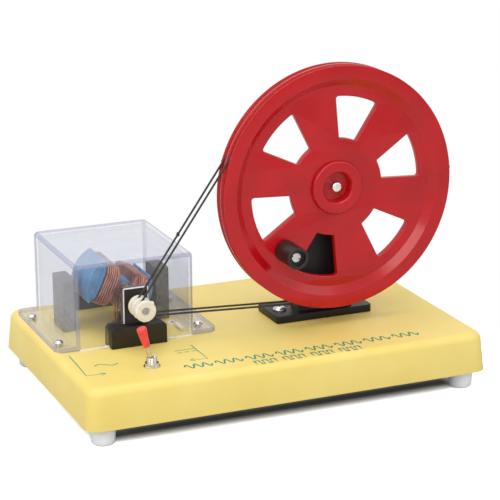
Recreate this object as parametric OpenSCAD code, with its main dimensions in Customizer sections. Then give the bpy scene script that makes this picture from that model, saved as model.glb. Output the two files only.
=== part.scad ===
// Hand-turned demonstration dynamo on a moulded base.
// A large belt wheel drives a small two-pole armature between two magnets.
// Lengths are millimetres. Z = 0 is the surface that the feet stand on, and
// X = Y = 0 is the middle of the base. The front edge faces -Y.

/* [Base] */
// Width of the base along its front edge
base_w = 254; // [245:1:290]
// Depth of the base from front to back
base_d = 165; // [160:1:190]
// Height of the moulded shell
shell_h = 24.2; // [23:0.1:32]
// Wall of the shell
shell_t = 2.5; // [2:0.1:3.5]
// How far each side leans in from bottom to top
shell_draft = 2.2; // [0.5:0.1:4]
// Corner radius of the shell seen from above
corner_r = 8; // [6:0.5:12]
// Rounding of the shell's top edge
edge_r = 4.5; // [3:0.5:6]
// Thickness of the plate that closes the shell underneath
plate_t = 1.6; // [1:0.1:3]
// Height of a foot below the shell
foot_h = 11.4; // [9:0.1:18]
// Radius of a foot at its top
foot_r = 7.6; // [7:0.1:10]
// Distance of each foot's centre from the side edge
foot_from_side = 12.6; // [12:0.1:18]
// Distance of each foot's centre from the front or back edge
foot_from_front = 12; // [12:0.1:18]

/* [Armature and pulley] */
// Shaft centre from the base's left edge
shaft_from_left = 53.8; // [50:0.1:60]
// Shaft centre above the deck
shaft_h = 25; // [25:0.1:30]
// Radius of the armature shaft
shaft_r = 2; // [1.5:0.1:2.5]
// Outer radius of the pole shoes
pole_r = 21; // [20.6:0.1:21.5]
// Length of the armature core
core_len = 30.5; // [26:0.5:31]
// Angle that one pole shoe covers
shoe_angle = 84; // [64:1:86]
// Width of a pole's stem
stem_w = 7.2; // [5:0.1:8]
// Flat-to-centre distance of the core's hub
hub_flat = 5.2; // [4.6:0.1:5.4]
// Thickness of the windings round a stem
wind_t = 8.2; // [6.8:0.1:8.4]
// Diameter of the drawn outer layer of wire
wire_d = 0.7; // [0.5:0.05:0.7]
// Turns drawn on each pole
turns = 6; // [3:1:6]
// Angle of the first pole above the right-hand horizontal
first_pole = 155; // [100:1:179]
// Flange radius of the pulley
pulley_r = 6.4; // [5.8:0.1:7]
// Length of the pulley
pulley_len = 16.1; // [15:0.1:16.3]
// Radius of the commutator and the slip rings
ring_r = 6.5; // [6:0.1:7]

/* [Belts] */
// Plane midway between the belts, ahead of the clear cover's front
belt_ahead = 10.7; // [10.5:0.1:12]
// Distance between the two belts
belt_pitch = 6.1; // [5.6:0.1:6.2]
// Diameter of a round belt
belt_d = 1.3; // [1:0.1:1.5]
// Belt centre radius round the wheel
belt_wheel_r = 70.9; // [70.6:0.1:71.6]
// Belt centre radius round the pulley
belt_pulley_r = 3.9; // [3.8:0.1:4.3]
// Air between a belt and its groove
belt_gap = 0.3; // [0.3:0.05:0.4]

/* [Wheel] */
// Axle centre from the base's right edge
axle_from_right = 75.7; // [75:0.1:82]
// Axle centre above the deck
axle_h = 85.3; // [84:0.1:95]
// Outer radius of the wheel
wheel_r = 74.5; // [74:0.1:75]
// Width of the rim
rim_w = 11.8; // [11.4:0.1:13]
// Width of the rim's flat front face
rim_face = 7.9; // [7:0.1:9]
// Depth of the web below the rim's front face
web_in = 3.8; // [3:0.1:4.2]
// Thickness of the web
web_t = 4.4; // [3.5:0.1:5]
// Inner radius of the windows
window_in = 29.9; // [28:0.1:32]
// Outer radius of the windows
window_out = 55.3; // [53:0.1:56]
// Half the angle of a window at its outer edge
window_half_out = 14.9; // [12:0.1:17]
// Half the angle of a window at its inner edge
window_half_in = 11.3; // [8:0.1:13]
// Angle of the first window's middle
window_turn = 16; // [0:1:59]
// Number of windows
windows = 6; // [5:1:6]
// Corner radius of a window
window_r = 1.6; // [0.5:0.1:2.5]
// Radius of the boss round the wheel's centre
boss_r = 16.4; // [14:0.1:18]
// Radius of the counterbore in the boss
counterbore_r = 9.4; // [8:0.1:11]
// Radius of the axle
axle_r = 3.25; // [2.5:0.05:4]

/* [Crank handle] */
// Distance of the handle from the axle
handle_at = 49.1; // [44:0.1:49.5]
// Angle of the handle round the axle
handle_turn = 226; // [0:1:359]
// Radius of the handle
handle_r = 6.7; // [6:0.1:7.5]
// Length of the handle
handle_len = 19.7; // [16:0.1:30]
// Radius of the screw that the handle turns on
handle_pin_r = 2; // [1.5:0.1:2.5]

/* [Wheel stand] */
// Foot plate to the left of the axle
stand_left = 34.5; // [32:0.1:38]
// Foot plate to the right of the axle
stand_right = 29.5; // [29:0.1:36]
// Depth of the foot plate
stand_d = 29.5; // [28:0.1:36]
// Thickness of the foot plate
stand_t = 4.6; // [3:0.1:6]
// Half the width of the upright at its foot
upright_half = 18.5; // [16:0.1:19.5]
// Radius of the upright's round top
upright_top_r = 15; // [12:0.1:16]
// Thickness of the upright
upright_t = 12; // [10:0.1:13]

/* [Clear cover] */
// Left side of the box from the base's left edge
cover_from_left = 16.8; // [16:0.1:18]
// Width of the box
cover_w = 74; // [73:0.1:78]
// Back of the box from the back edge
cover_from_rear = 12.6; // [12:0.1:20]
// Depth of the box
cover_d = 83.8; // [83:0.1:88]
// Height of the box above the deck
cover_h = 51.5; // [50:0.1:60]
// Wall of the cover
cover_t = 2.3; // [1.6:0.1:2.6]
// Width of the left flange
flange_left = 12.5; // [11:0.1:13]
// Width of the right flange
flange_right = 15; // [13:0.1:18]
// Air between the cover and the bearing block that passes through it
cover_gap = 0.6; // [0.3:0.1:1]

/* [Bearing blocks] */
// Half the width of a block's foot
block_half = 17.3; // [16:0.1:18]
// Depth of the front block's foot
block_d = 12.2; // [11:0.1:12.8]
// Height of a block's foot
block_h = 12.8; // [11:0.1:14]
// Half the width of a block's upright
post_half = 7.1; // [7:0.1:8]
// Thickness of a block's upright
post_t = 6.9; // [6:0.1:7.2]
// Height of a block's upright
post_h = 34; // [33:0.1:36]
// Outer radius of a shaft bush
bush_r = 4; // [3.5:0.1:4.5]

/* [Magnets and brushes] */
// Thickness of a magnet
magnet_t = 8.4; // [7:0.1:10]
// Length of a magnet
magnet_len = 18.8; // [16:0.1:24]
// Height of a magnet
magnet_h = 33.2; // [26:0.1:36]
// Height of the block that carries the brushes
brush_block_h = 14; // [12:0.1:15]
// Thickness of a brush strip
brush_t = 0.4; // [0.3:0.05:0.6]
// Air between a brush and its ring
brush_gap = 0.15; // [0.1:0.05:0.3]

/* [Switch] */
// Switch centre from the base's left edge
switch_from_left = 48.3; // [44:0.1:52]
// Switch centre from the front edge
switch_from_front = 27.4; // [24:0.1:32]
// Radius of the threaded bushing
bushing_r = 3.1; // [2.9:0.05:3.2]
// Height of the bushing above the deck
bushing_h = 5.6; // [5:0.1:7]
// Width of the nut across its flats
nut_flats = 8; // [7.5:0.1:9]
// Lean of the lever to each side
lever_lean = 15; // [10:1:17]
// Length of the lever above its pivot
lever_len = 23.3; // [21:0.1:25]

/* [Output sockets] */
// Right socket from the base's right edge
socket_from_right = 19.6; // [16:0.1:24]
// Sockets from the back edge
socket_from_rear = 38; // [30:0.1:44]
// Distance between the sockets
socket_pitch = 19; // [18:0.05:20]
// Bore radius of a socket's metal sleeve
socket_bore_r = 2.03; // [2:0.01:2.1]

/* [Hidden] */
$fn = 48;
left = -base_w/2;
front = -base_d/2;
deck = foot_h + shell_h;
under = deck - shell_t;
floor_z = foot_h + plate_t;

shaft_x = left + shaft_from_left;
shaft_z = deck + shaft_h;
axle_x = -left - axle_from_right;
axle_z = deck + axle_h;
cover_rear = -front - cover_from_rear;
cover_front = cover_rear - cover_d;
belt_y = cover_front - belt_ahead;
belt_offsets = [-belt_pitch/2, belt_pitch/2];

// Small clearances
run_gap = 0.05;
loose_gap = 0.3;
end_gap = 0.5;

// Grooves hold a belt with air all round it
groove_slope = 17;
groove_wide = (belt_d/2 + belt_gap)/cos(groove_slope);
groove_deep = belt_d/2 + belt_gap;

// Wheel, measured from the front face of its rim
rim_front = belt_y - rim_w/2;
rim_rear = rim_front + rim_w;
web_front = rim_front + web_in;
web_rear = web_front + web_t;
web_slope = 4.7;
web_r = wheel_r - rim_face - web_slope;
boss_up = 1.5;
boss_front = web_front - boss_up;
counterbore_deep = 3.2;
rear_hub_r = 11;
axle_bevel = 0.7;
axle_in = 0.6;
lip_chamfer = 0.4;

// Wheel stand, just behind the rim
stand_front = rim_rear + 2.2;
upright_front = rim_rear + 7.3;
upright_rear = upright_front + upright_t;
axle_flange_t = 0.8;
wheel_bush_r = 5;
wheel_bush_flange_r = 7;
hub_rear = upright_front - axle_flange_t - end_gap;
collar_len = 5;
gusset_t = 5;
plate_chamfer = 1;
stand_screw_in_left = 7.2;
stand_screw_in_right = 5.3;
stand_screw_y = stand_front + 13.2;

// Crank handle
handle_x = axle_x + handle_at*cos(handle_turn);
handle_z = axle_z + handle_at*sin(handle_turn);
handle_rear = web_front - end_gap;
handle_front = handle_rear - handle_len;
recess_r = 4.7;
recess_deep = 3.5;
handle_head_r = 3;
handle_head_h = 2;

// Armature and magnets
magnet_back = 1.8;
magnet_edge = 1.6;
core_back = 43.15;
core_mid = cover_front + core_back;
core_front = core_mid - core_len/2;
core_rear = core_mid + core_len/2;
poles = [0, 180];
hub_half = 6.5;
hub_corner = 1;
cheek_t = 0.6;
shoe_flat = 15.2;
cheek_out = stem_w/2 + wind_t + wire_d + 0.3;
wind_in = hub_flat + cheek_t;
wind_out = shoe_flat - cheek_t;
wind_over = 5;
wind_corner = 7.5;
turn_end = 1.3*wire_d;
turn_pitch = (wind_out - wind_in - 2*turn_end)/turns;
turn_gap = 0.15;
turn_out = wire_d/2 + turn_gap;

// Shaft, from the pulley to the rear bearing
pulley_ahead = 7.5;
pulley_front = belt_y - pulley_ahead;
pulley_rear = pulley_front + pulley_len;
shaft_front = pulley_front + 1;
post_front = cover_front - loose_gap;
post_rear = post_front + post_t;
block_front = post_rear - block_d;
rear_block_d = 8;
rear_block_rear = cover_rear - cover_t - end_gap;
rear_block_front = rear_block_rear - rear_block_d;
shaft_rear = rear_block_rear - end_gap;
bush_flange_t = 0.8;
bush_flange_r = bush_r + 1.2;
pulley_bore_r = shaft_r + run_gap;
collar_r = 4.6;
collar_w = 4;

// Rings and commutator behind the front bearing
sleeve_r = 4;
sleeve_front = post_rear + 1.2;
ring_w = 2.5;
ring_a = sleeve_front + 1.5;
ring_b = ring_a + ring_w + 1.5;
comm_front = ring_b + ring_w + 1.5;
comm_w = 4.2;
sleeve_rear = comm_front + comm_w + 0.8;
segment_gap = 0.7;
brush_half = ring_r + brush_gap;
brush_top = shaft_h + 3;
brush_foot = 4;
brush_screw_h = 8;

// Clear cover
cover_left = left + cover_from_left;
cover_right = cover_left + cover_w;
cover_corner = 3.6;
cover_top_r = 2.6;
flange_t = 2.4;
flange_corner = 6;
lug_w = 5;
lug_d = 2.4;
lug_at = 21.7;
screw_in_left = 7.6;
screw_in_right = 6.9;
screw_from_front = 12.4;
screw_from_rear = 18;
cover_screws_at = [
    [cover_left - screw_in_left, cover_front + screw_from_front],
    [cover_left - screw_in_left, cover_rear - screw_from_rear],
    [cover_right + screw_in_right, cover_front + screw_from_front],
    [cover_right + screw_in_right, cover_rear - screw_from_rear]];

// Screws
screw_r = 1.45;
screw_head_r = 3;
screw_head_h = 1.9;
hole_gap = 0.25;
screw_boss_r = 3.4;
screw_boss_h = 8;
foot_screw_r = 1.5;
foot_boss_r = 4;
foot_sink = 5;
foot_head_r = 2.9;

// Output sockets
socket_y = -front - socket_from_rear;
sockets_x = [-left - socket_from_right - socket_pitch, -left - socket_from_right];
socket_head_r = 6;
socket_head_h = 6;
socket_stem_r = 4;
socket_stem_h = 9;
socket_sleeve_r = 2.7;
socket_sleeve_len = 18;
socket_nut_t = 3;
socket_tag_h = 4;

// Toggle switch
switch_x = left + switch_from_left;
switch_y = front + switch_from_front;
pivot_up = 1.5;
lever_r = 1.4;
lever_cap_r = 2.65;
ball_r = 1.3;
pivot_r = 0.6;
pivot_half = 1.4;
mouth_gap = 0.35;
cap_len = 12.1;
nut_t = 1.8;
washer_t = 0.5;
washer_r = 4.9;
switch_w = 12.8;
switch_d = 8;
switch_h = 9.6;
pin_pitch = 4.7;
pin_h = 4;

// White lead sleeve on the deck inside the cover
grommet_r = 2.9;
grommet_t = 1.2;
grommet_in = 0.5;
grommet_back = 24.6;
grommet_x = cover_right - cover_t - grommet_r - grommet_in;
grommet_y = cover_front + grommet_back;
lead_r = 0.55;
lead_sleeve_r = 1.3;
lead_sleeve_in = 0.6;
lead_sleeve_back = 9.4;
lead_sleeve_len = 10.4;
lead_sleeve_x = cover_right - cover_t - lead_sleeve_r - lead_sleeve_in;
lead_sleeve_front = cover_front + lead_sleeve_back;
lead_drop = 1.6;

feet_x = [left + foot_from_side, -left - foot_from_side];
feet_y = [front + foot_from_front, -front - foot_from_front];
foot_spots = [for (x = feet_x) for (y = feet_y) [x, y]];

// Helpers

// Cylinder along +Y from y0
module rod_y(x, y0, z, r, len) {
    translate([x, y0, z]) rotate([-90, 0, 0]) cylinder(h = len, r = r);
}

// Outline of [radius, y] points turned about a Y axis
module turned_y(x, z, outline) {
    translate([x, 0, z]) rotate([-90, 0, 0]) rotate_extrude($fn = 96) polygon(outline);
}

// Flat outline in X and Z, pushed along +Y from y0
module slab_y(y0, depth) {
    translate([0, y0, 0]) rotate([90, 0, 0]) mirror([0, 0, 1]) linear_extrude(depth) children();
}

// Box between two corners
module block(low, high) {
    translate(low) cube(high - low);
}

// Rectangle with round corners, centred
module round_rect(w, d, r) {
    square([w - 2*r, d], center = true);
    square([w, d - 2*r], center = true);
    for (x = [-1, 1], y = [-1, 1]) translate([x*(w/2 - r), y*(d/2 - r)]) circle(r);
}

// Cross-head screw standing on z = 0, with its shank below
module pan_screw(shank_r, len, head_r, head_h) {
    difference() {
        intersection() {
            cylinder(h = head_h, r = head_r);
            translate([0, 0, head_h - 1.6*head_r]) sphere(1.6*head_r, $fn = 64);
        }
        for (a = [0, 90]) rotate(a) {
            translate([-0.6*head_r, -0.13*head_r, 0.45*head_h])
                cube([1.2*head_r, 0.26*head_r, head_h]);
        }
    }
    translate([0, 0, -len]) cylinder(h = len + 0.2, r = shank_r);
}

// Slotted screw standing on z = 0, with its shank below
module slot_screw(shank_r, len, head_r, head_h) {
    difference() {
        cylinder(h = head_h, r = head_r);
        translate([-1.1*head_r, -0.14*head_r, 0.5*head_h]) cube([2.2*head_r, 0.28*head_r, head_h]);
    }
    translate([0, 0, -len]) cylinder(h = len + 0.2, r = shank_r);
}

// Tube swept along a path, with every ring carried on from the one before
function unit(v) = v/norm(v);
function heading(p, i) =
    i == 0 ? unit(p[1] - p[0]) :
    i == len(p) - 1 ? unit(p[i] - p[i - 1]) :
    unit(unit(p[i + 1] - p[i]) + unit(p[i] - p[i - 1]));
function carry(n, t) = unit(n - (n*t)*t);
function first_side(t) = carry(abs(t[2]) < 0.8 ? [0, 0, 1] : [1, 0, 0], t);
function ring_sides(p) = [for (i = 0, m = first_side(heading(p, 0)); i < len(p);
    i = i + 1, m = i < len(p) ? carry(m, heading(p, i)) : m) m];
module tube(p, r, sides) {
    normals = ring_sides(p);
    last = (len(p) - 1)*sides;
    points = [for (i = [0:len(p) - 1]) let (t = heading(p, i), m = normals[i], b = cross(t, m))
        for (k = [0:sides - 1]) p[i] + r*(cos(360*k/sides)*m + sin(360*k/sides)*b)];
    walls = [for (i = [0:len(p) - 2], k = [0:sides - 1]) let (a = i*sides + k,
        b = i*sides + (k + 1)%sides) each [[a, b, a + sides], [b, b + sides, a + sides]]];
    caps = [for (k = [1:sides - 2]) each [[0, k + 1, k], [last, last + k, last + k + 1]]];
    polyhedron(points = points, faces = [for (f = concat(walls, caps)) [f[0], f[2], f[1]]]);
}

// Base

// Rounded box that leans in towards its top
module leaning_box(inset, top_z, edge) {
    w = base_w/2 - inset;
    d = base_d/2 - inset;
    r = corner_r - inset;
    hull() {
        for (x = [-1, 1], y = [-1, 1]) {
            translate([x*(w - r), y*(d - r), foot_h]) cylinder(h = 0.01, r = r, $fn = 40);
            translate([x*(w - shell_draft - r), y*(d - shell_draft - r), top_z - edge])
                rotate_extrude($fn = 40) intersection() {
                    translate([r - edge, 0]) circle(edge, $fn = 40);
                    square([r, edge]);
                }
        }
    }
}

module base_shell() {
    color("#e9d26d")
    difference() {
        union() {
            difference() {
                leaning_box(0, deck, edge_r);
                difference() {
                    leaning_box(shell_t, under, edge_r - shell_t/2);
                    for (p = foot_spots) translate([p[0], p[1], floor_z])
                        cylinder(h = shell_h, r = foot_boss_r);
                    for (p = cover_screws_at) translate([p[0], p[1], under - screw_boss_h])
                        cylinder(h = screw_boss_h + 1, r = screw_boss_r);
                    for (x = stand_screws_x) translate([x, stand_screw_y, under - screw_boss_h])
                        cylinder(h = screw_boss_h + 1, r = screw_boss_r);
                }
            }
        }
        for (p = foot_spots) translate([p[0], p[1], foot_h - 1])
            cylinder(h = shell_h - 3, r = foot_screw_r);
        for (p = cover_screws_at) translate([p[0], p[1], under - screw_boss_h - 1])
            cylinder(h = screw_boss_h + shell_t + 2, r = screw_r);
        for (x = stand_screws_x) translate([x, stand_screw_y, under - screw_boss_h - 1])
            cylinder(h = screw_boss_h + shell_t + 2, r = stand_screw_r);
        for (p = block_screws_at) translate([p[0], p[1], under - 1])
            cylinder(h = shell_t + 2, r = screw_r + hole_gap);
        translate([switch_x, switch_y, under - 1]) cylinder(h = shell_t + 2, r = bushing_r + hole_gap);
        for (x = sockets_x) translate([x, socket_y, under - 1])
            cylinder(h = shell_t + 2, r = socket_stem_r + hole_gap);
        translate([grommet_x, grommet_y, under - 1]) cylinder(h = shell_t + 2, r = grommet_hole_r);
        translate([lead_sleeve_x, lead_sleeve_front - lead_drop, under - 1])
            cylinder(h = shell_t + 2, r = lead_r + 0.4);
        for (x = lead_holes_x, y = lead_holes_y) translate([x, y, under - 1])
            cylinder(h = shell_t + 2, r = lead_r + 0.4);
    }
}

stand_screw_r = 2;
stand_screws_x = [axle_x - stand_left + stand_screw_in_left,
    axle_x + stand_right - stand_screw_in_right];
block_screw_at = 11;
block_screws_at = [for (s = [-1, 1], y = [block_front + block_d/2, rear_block_front + rear_block_d/2])
    [shaft_x + s*block_screw_at, y]];
grommet_hole_r = 2;
lead_holes_x = [shaft_x - 2.6, shaft_x + 2.6];
lead_holes_y = [ring_a + 1, comm_front + 3];

module bottom_plate() {
    edge = shell_t + loose_gap;
    color("#2b2a28")
    translate([0, 0, foot_h]) difference() {
        linear_extrude(plate_t) round_rect(base_w - 2*edge, base_d - 2*edge, corner_r - edge);
        for (p = foot_spots) translate([p[0], p[1], -1]) cylinder(h = plate_t + 2, r = foot_screw_r);
    }
}

module foot(x, y) {
    toe = 1.6;
    color("#dfe4e8")
    translate([x, y, 0]) difference() {
        rotate_extrude() polygon([[0, 0], [foot_r - 2.4, 0], [foot_r - 1.2, 0.5], [foot_r - 0.8, toe],
            [foot_r, foot_h], [0, foot_h]]);
        translate([0, 0, -1]) cylinder(h = foot_sink + 1, r = foot_head_r + loose_gap);
        cylinder(h = foot_h + 1, r = foot_screw_r);
    }
}

module foot_screws() {
    color("#c9c9c7")
    for (p = foot_spots) translate([p[0], p[1], foot_sink]) mirror([0, 0, 1])
        pan_screw(foot_screw_r, foot_h + plate_t + 6 - foot_sink, foot_head_r, 1.8);
}

// Clear cover

module cover_block(inset, top_z, low_z) {
    r = cover_corner - inset;
    edge = max(cover_top_r - inset, 0.3);
    hull() for (x = [cover_left + inset + r, cover_right - inset - r],
        y = [cover_front + inset + r, cover_rear - inset - r]) {
        translate([x, y, low_z]) cylinder(h = 0.01, r = r, $fn = 32);
        translate([x, y, top_z - edge]) rotate_extrude($fn = 32) intersection() {
            translate([r - edge, 0]) circle(edge, $fn = 32);
            square([r, edge]);
        }
    }
}

module cover_flange() {
    low = cover_left - flange_left;
    high = cover_right + flange_right;
    translate([(low + high)/2, (cover_front + cover_rear)/2, deck])
        linear_extrude(flange_t) round_rect(high - low, cover_d, flange_corner);
}

module clear_cover() {
    color("#c8cbe2", 0.35)
    difference() {
        union() {
            cover_block(0, deck + cover_h, deck);
            cover_flange();
            for (s = [-1, 1]) block([shaft_x + s*lug_at - lug_w/2, cover_front - lug_d, deck],
                [shaft_x + s*lug_at + lug_w/2, cover_front + cover_t/2, deck + 2]);
        }
        cover_block(cover_t, deck + cover_h - cover_t, deck - 1);
        block([shaft_x - block_half - cover_gap, cover_front - lug_d - 1, deck - 1],
            [shaft_x + block_half + cover_gap, cover_front + cover_t + 1, deck + block_h + cover_gap]);
        block([shaft_x - post_half - cover_gap, cover_front - 1, deck - 1],
            [shaft_x + post_half + cover_gap, cover_front + cover_t + 1, deck + post_h + cover_gap]);
        for (p = cover_screws_at) translate([p[0], p[1], deck - 1])
            cylinder(h = flange_t + 2, r = screw_r + hole_gap);
    }
}

module cover_screws() {
    color("#d4d4d2")
    for (p = cover_screws_at) translate([p[0], p[1], deck + flange_t]) rotate(25 + p[1])
        pan_screw(screw_r, flange_t + 8, screw_head_r, screw_head_h);
}

// Bearing blocks and bushes

module bearing_outline() {
    r = 3;
    translate([shaft_x, deck]) {
        translate([-block_half, 0]) square([2*block_half, block_h - r]);
        translate([-block_half + r, 0]) square([2*block_half - 2*r, block_h]);
        for (s = [-1, 1]) translate([s*(block_half - r), block_h - r]) circle(r);
        translate([-post_half, 0]) square([2*post_half, post_h - r]);
        translate([-post_half + r, 0]) square([2*post_half - 2*r, post_h]);
        for (s = [-1, 1]) translate([s*(post_half - r), post_h - r]) circle(r);
    }
}

module bearing_block(foot_front, foot_d, post_y, post_d) {
    high = deck + block_h;
    color("#2e2b29")
    difference() {
        intersection() {
            slab_y(foot_front, foot_d) bearing_outline();
            union() {
                block([shaft_x - block_half - 1, foot_front - 1, deck], [shaft_x + block_half + 1,
                    foot_front + foot_d + 1, high]);
                block([shaft_x - post_half - 1, post_y, deck], [shaft_x + post_half + 1,
                    post_y + post_d, deck + post_h + 1]);
            }
        }
        rod_y(shaft_x, foot_front - 1, shaft_z, bush_r, foot_d + 2);
        for (s = [-1, 1]) translate([shaft_x + s*block_screw_at, foot_front + foot_d/2, deck - 1])
            cylinder(h = block_h - 2, r = screw_r);
    }
}

module front_bearing_block() bearing_block(block_front, block_d, post_front, post_t);

module rear_bearing_block() bearing_block(rear_block_front, rear_block_d, rear_block_front, rear_block_d);

module bearing_block_screws() {
    color("#b9b9b6")
    for (p = block_screws_at) translate([p[0], p[1], under]) mirror([0, 0, 1])
        pan_screw(screw_r, shell_t + 8, screw_head_r, screw_head_h);
}

// Plain bush with a flange towards -Y
module bush(x, z, outer, bore, y0, len, flange_r, flange_t) {
    color("#b08d57")
    difference() {
        union() {
            rod_y(x, y0, z, outer, len);
            rod_y(x, y0 - flange_t, z, flange_r, flange_t);
        }
        rod_y(x, y0 - flange_t - 1, z, bore, len + flange_t + 2);
    }
}

module front_bush() bush(shaft_x, shaft_z, bush_r, shaft_r + run_gap, post_front, post_t,
    bush_flange_r, bush_flange_t);

module rear_bush() bush(shaft_x, shaft_z, bush_r, shaft_r + run_gap, rear_block_front, rear_block_d,
    bush_flange_r, bush_flange_t);

// Magnets stand on the deck against the cover's side walls

module magnet(x) {
    r = magnet_edge;
    mid = core_mid + magnet_back;
    color("#6c6a6b")
    translate([x, mid, 0]) rotate([90, 0, 90]) linear_extrude(magnet_t) translate([0, deck]) {
        translate([-magnet_len/2, 0]) square([magnet_len, magnet_h - r]);
        translate([-magnet_len/2 + r, 0]) square([magnet_len - 2*r, magnet_h]);
        for (s = [-1, 1]) translate([s*(magnet_len/2 - r), magnet_h - r]) circle(r);
    }
}

module left_magnet() magnet(cover_left + cover_t + end_gap);

module right_magnet() magnet(cover_right - cover_t - end_gap - magnet_t);

// Brush gear

module brush_block() {
    color("#35312e")
    difference() {
        block([shaft_x - brush_half, ring_a - 1, deck], [shaft_x + brush_half, comm_front + comm_w,
            deck + brush_block_h]);
        for (b = brushes) translate([shaft_x, b[1], deck + brush_screw_h]) rotate([0, b[0]*90, 0])
            translate([0, 0, brush_half - 3]) cylinder(h = 4, r = brush_screw_r);
        for (x = lead_holes_x, y = lead_holes_y) translate([x, y, deck - 1])
            cylinder(h = brush_block_h - 6, r = lead_r + 0.4);
    }
}

brush_screw_r = 0.8;
brush_w = 2;
comm_brush_w = 3.2;
// Side, middle of the strip along Y, and its width
brushes = [[1, ring_a + ring_w/2, brush_w], [-1, ring_b + ring_w/2, brush_w],
    [1, comm_front + comm_w/2, comm_brush_w], [-1, comm_front + comm_w/2, comm_brush_w]];

module brush_strip(b) {
    color("#b5813f")
    difference() {
        translate([shaft_x, 0, deck]) mirror([b[0] < 0 ? 1 : 0, 0, 0])
            block([brush_half, b[1] - b[2]/2, brush_foot], [brush_half + brush_t, b[1] + b[2]/2, brush_top]);
        translate([shaft_x, b[1], deck + brush_screw_h]) rotate([0, b[0]*90, 0])
            cylinder(h = 2*brush_half, r = brush_screw_r);
    }
}

module slip_ring_brushes() for (i = [0, 1]) brush_strip(brushes[i]);

module commutator_brushes() for (i = [2, 3]) brush_strip(brushes[i]);

module brush_screws() {
    color("#c9b27a")
    for (b = brushes) translate([shaft_x, b[1], deck + brush_screw_h]) rotate([0, b[0]*90, 0])
        translate([0, 0, brush_half + brush_t]) slot_screw(brush_screw_r, 2.6, 1.3, 0.8);
}

// Leads

module lead_grommet() {
    color("#e6e6e4")
    translate([grommet_x, grommet_y, 0]) difference() {
        union() {
            translate([0, 0, deck]) cylinder(h = grommet_t, r = grommet_r);
            translate([0, 0, under]) cylinder(h = shell_t, r = grommet_hole_r);
        }
        translate([0, 0, under - 1]) cylinder(h = shell_t + 4, r = lead_r + 0.45);
    }
}

module lead_sleeve() {
    color("#e9e9ea")
    difference() {
        rod_y(lead_sleeve_x, lead_sleeve_front, deck + lead_sleeve_r, lead_sleeve_r, lead_sleeve_len);
        rod_y(lead_sleeve_x, lead_sleeve_front - 1, deck + lead_sleeve_r, lead_r, lead_sleeve_len + 2);
    }
}

// Terminal of the switch: i counts along X and j along Y
pin_tip = under - switch_h - pin_h;
function pin_at(i, j) = [switch_x + i*pin_pitch, switch_y + j*pin_pitch, pin_tip];

// Leads under the deck run at two heights above the bottom plate
lead_high = floor_z + 4.5;
lead_low = floor_z + 1.4;
lead_top = deck + 6;

// Ends of a lead: down out of the brush block, and up to a terminal
function brush_end(i, j) = let (x = lead_holes_x[i], y = lead_holes_y[j])
    [[x, y, lead_top], [x, y, under - 3]];
function pin_end(i, j) = let (p = pin_at(i, j)) [p - [0, 0, 3], p];

module brush_leads() {
    side = switch_x;
    color("#d8d4cc") {
        tube(concat(brush_end(0, 1), [[side - 2, core_mid - 26, under - 7],
            [side - 9, core_mid - 42, lead_high], [side - 8.5, switch_y + 8, lead_high]],
            pin_end(-1, 0.5)), lead_r, 8);
        tube(concat(brush_end(1, 1), [[shaft_x - 1, lead_holes_y[1] + 5, under - 7],
            [side - 9, lead_holes_y[1] + 2, lead_high + 2], [side - 12, core_mid - 48, lead_high],
            [side - 11, switch_y + 2, lead_high]], pin_end(-1, -0.5)), lead_r, 8);
        tube(concat(brush_end(0, 0), [[side + 0.5, lead_holes_y[0] - 7, under - 8],
            [side, switch_y + 22, lead_high], [side + 2, switch_y + 8, lead_high]],
            pin_end(1, 0.5)), lead_r, 8);
        tube(concat(brush_end(1, 0), [[side + 9, lead_holes_y[0] - 9, under - 8],
            [side + 10, switch_y + 16, lead_high], [side + 9, switch_y + 2, lead_high]],
            pin_end(1, -0.5)), lead_r, 8);
        tube([
            [grommet_x, grommet_y, under - 8],
            [grommet_x, grommet_y, deck + grommet_t + 0.2],
            [grommet_x, grommet_y - 0.6, deck + grommet_t + 0.9],
            [lead_sleeve_x - 0.4, grommet_y - 2.5, deck + grommet_t + 0.9],
            [lead_sleeve_x, lead_sleeve_front + lead_sleeve_len + 1, deck + lead_sleeve_r],
            [lead_sleeve_x, lead_sleeve_front - 0.3, deck + lead_sleeve_r],
            [lead_sleeve_x, lead_sleeve_front - 1.4, deck + lead_sleeve_r - 0.4],
            [lead_sleeve_x, lead_sleeve_front - lead_drop, deck],
            [lead_sleeve_x, lead_sleeve_front - lead_drop, under - 8]], lead_r, 8);
    }
}

module socket_leads() {
    tag_z = deck + socket_head_h - 1 - socket_sleeve_len - socket_tag_h;
    color("#9c3030")
    for (i = [0, 1]) let (p = pin_at(0, 0.5 - i), away = 1 - 2*i) tube([
        p,
        p - [0, 0, 3],
        [p[0] + 4, p[1] + 3*away, lead_low],
        [switch_x + 70, switch_y + 26 + 6*away, lead_low],
        [sockets_x[i] - 9, socket_y - 24, lead_low],
        [sockets_x[i] - 1, socket_y - 6, lead_low + 0.4],
        [sockets_x[i], socket_y, tag_z - 1.2],
        [sockets_x[i], socket_y, tag_z]], lead_r, 8);
}

// Toggle switch

module toggle_body() {
    color("#23507a")
    block([switch_x - switch_w/2, switch_y - switch_d/2, under - switch_h],
        [switch_x + switch_w/2, switch_y + switch_d/2, under]);
}

module toggle_bushing() {
    color("#bdbdb9")
    translate([switch_x, switch_y, under]) difference() {
        cylinder(h = shell_t + bushing_h, r = bushing_r);
        translate([0, 0, 0.6]) cylinder(h = 40, r = ball_r + mouth_gap);
        translate([0, 0, shell_t + pivot_up])
            cylinder(h = bushing_h - pivot_up + 0.01, r1 = ball_r + mouth_gap, r2 = bushing_r - mouth_gap);
        translate([-0.5, -bushing_r - 1, shell_t + 2.6]) cube([1, 1.6, bushing_h]);
    }
}

module toggle_washer() {
    color("#c4c4c1")
    translate([switch_x, switch_y, deck]) difference() {
        cylinder(h = washer_t, r = washer_r);
        translate([0, 0, -1]) cylinder(h = 3, r = bushing_r);
    }
}

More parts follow.
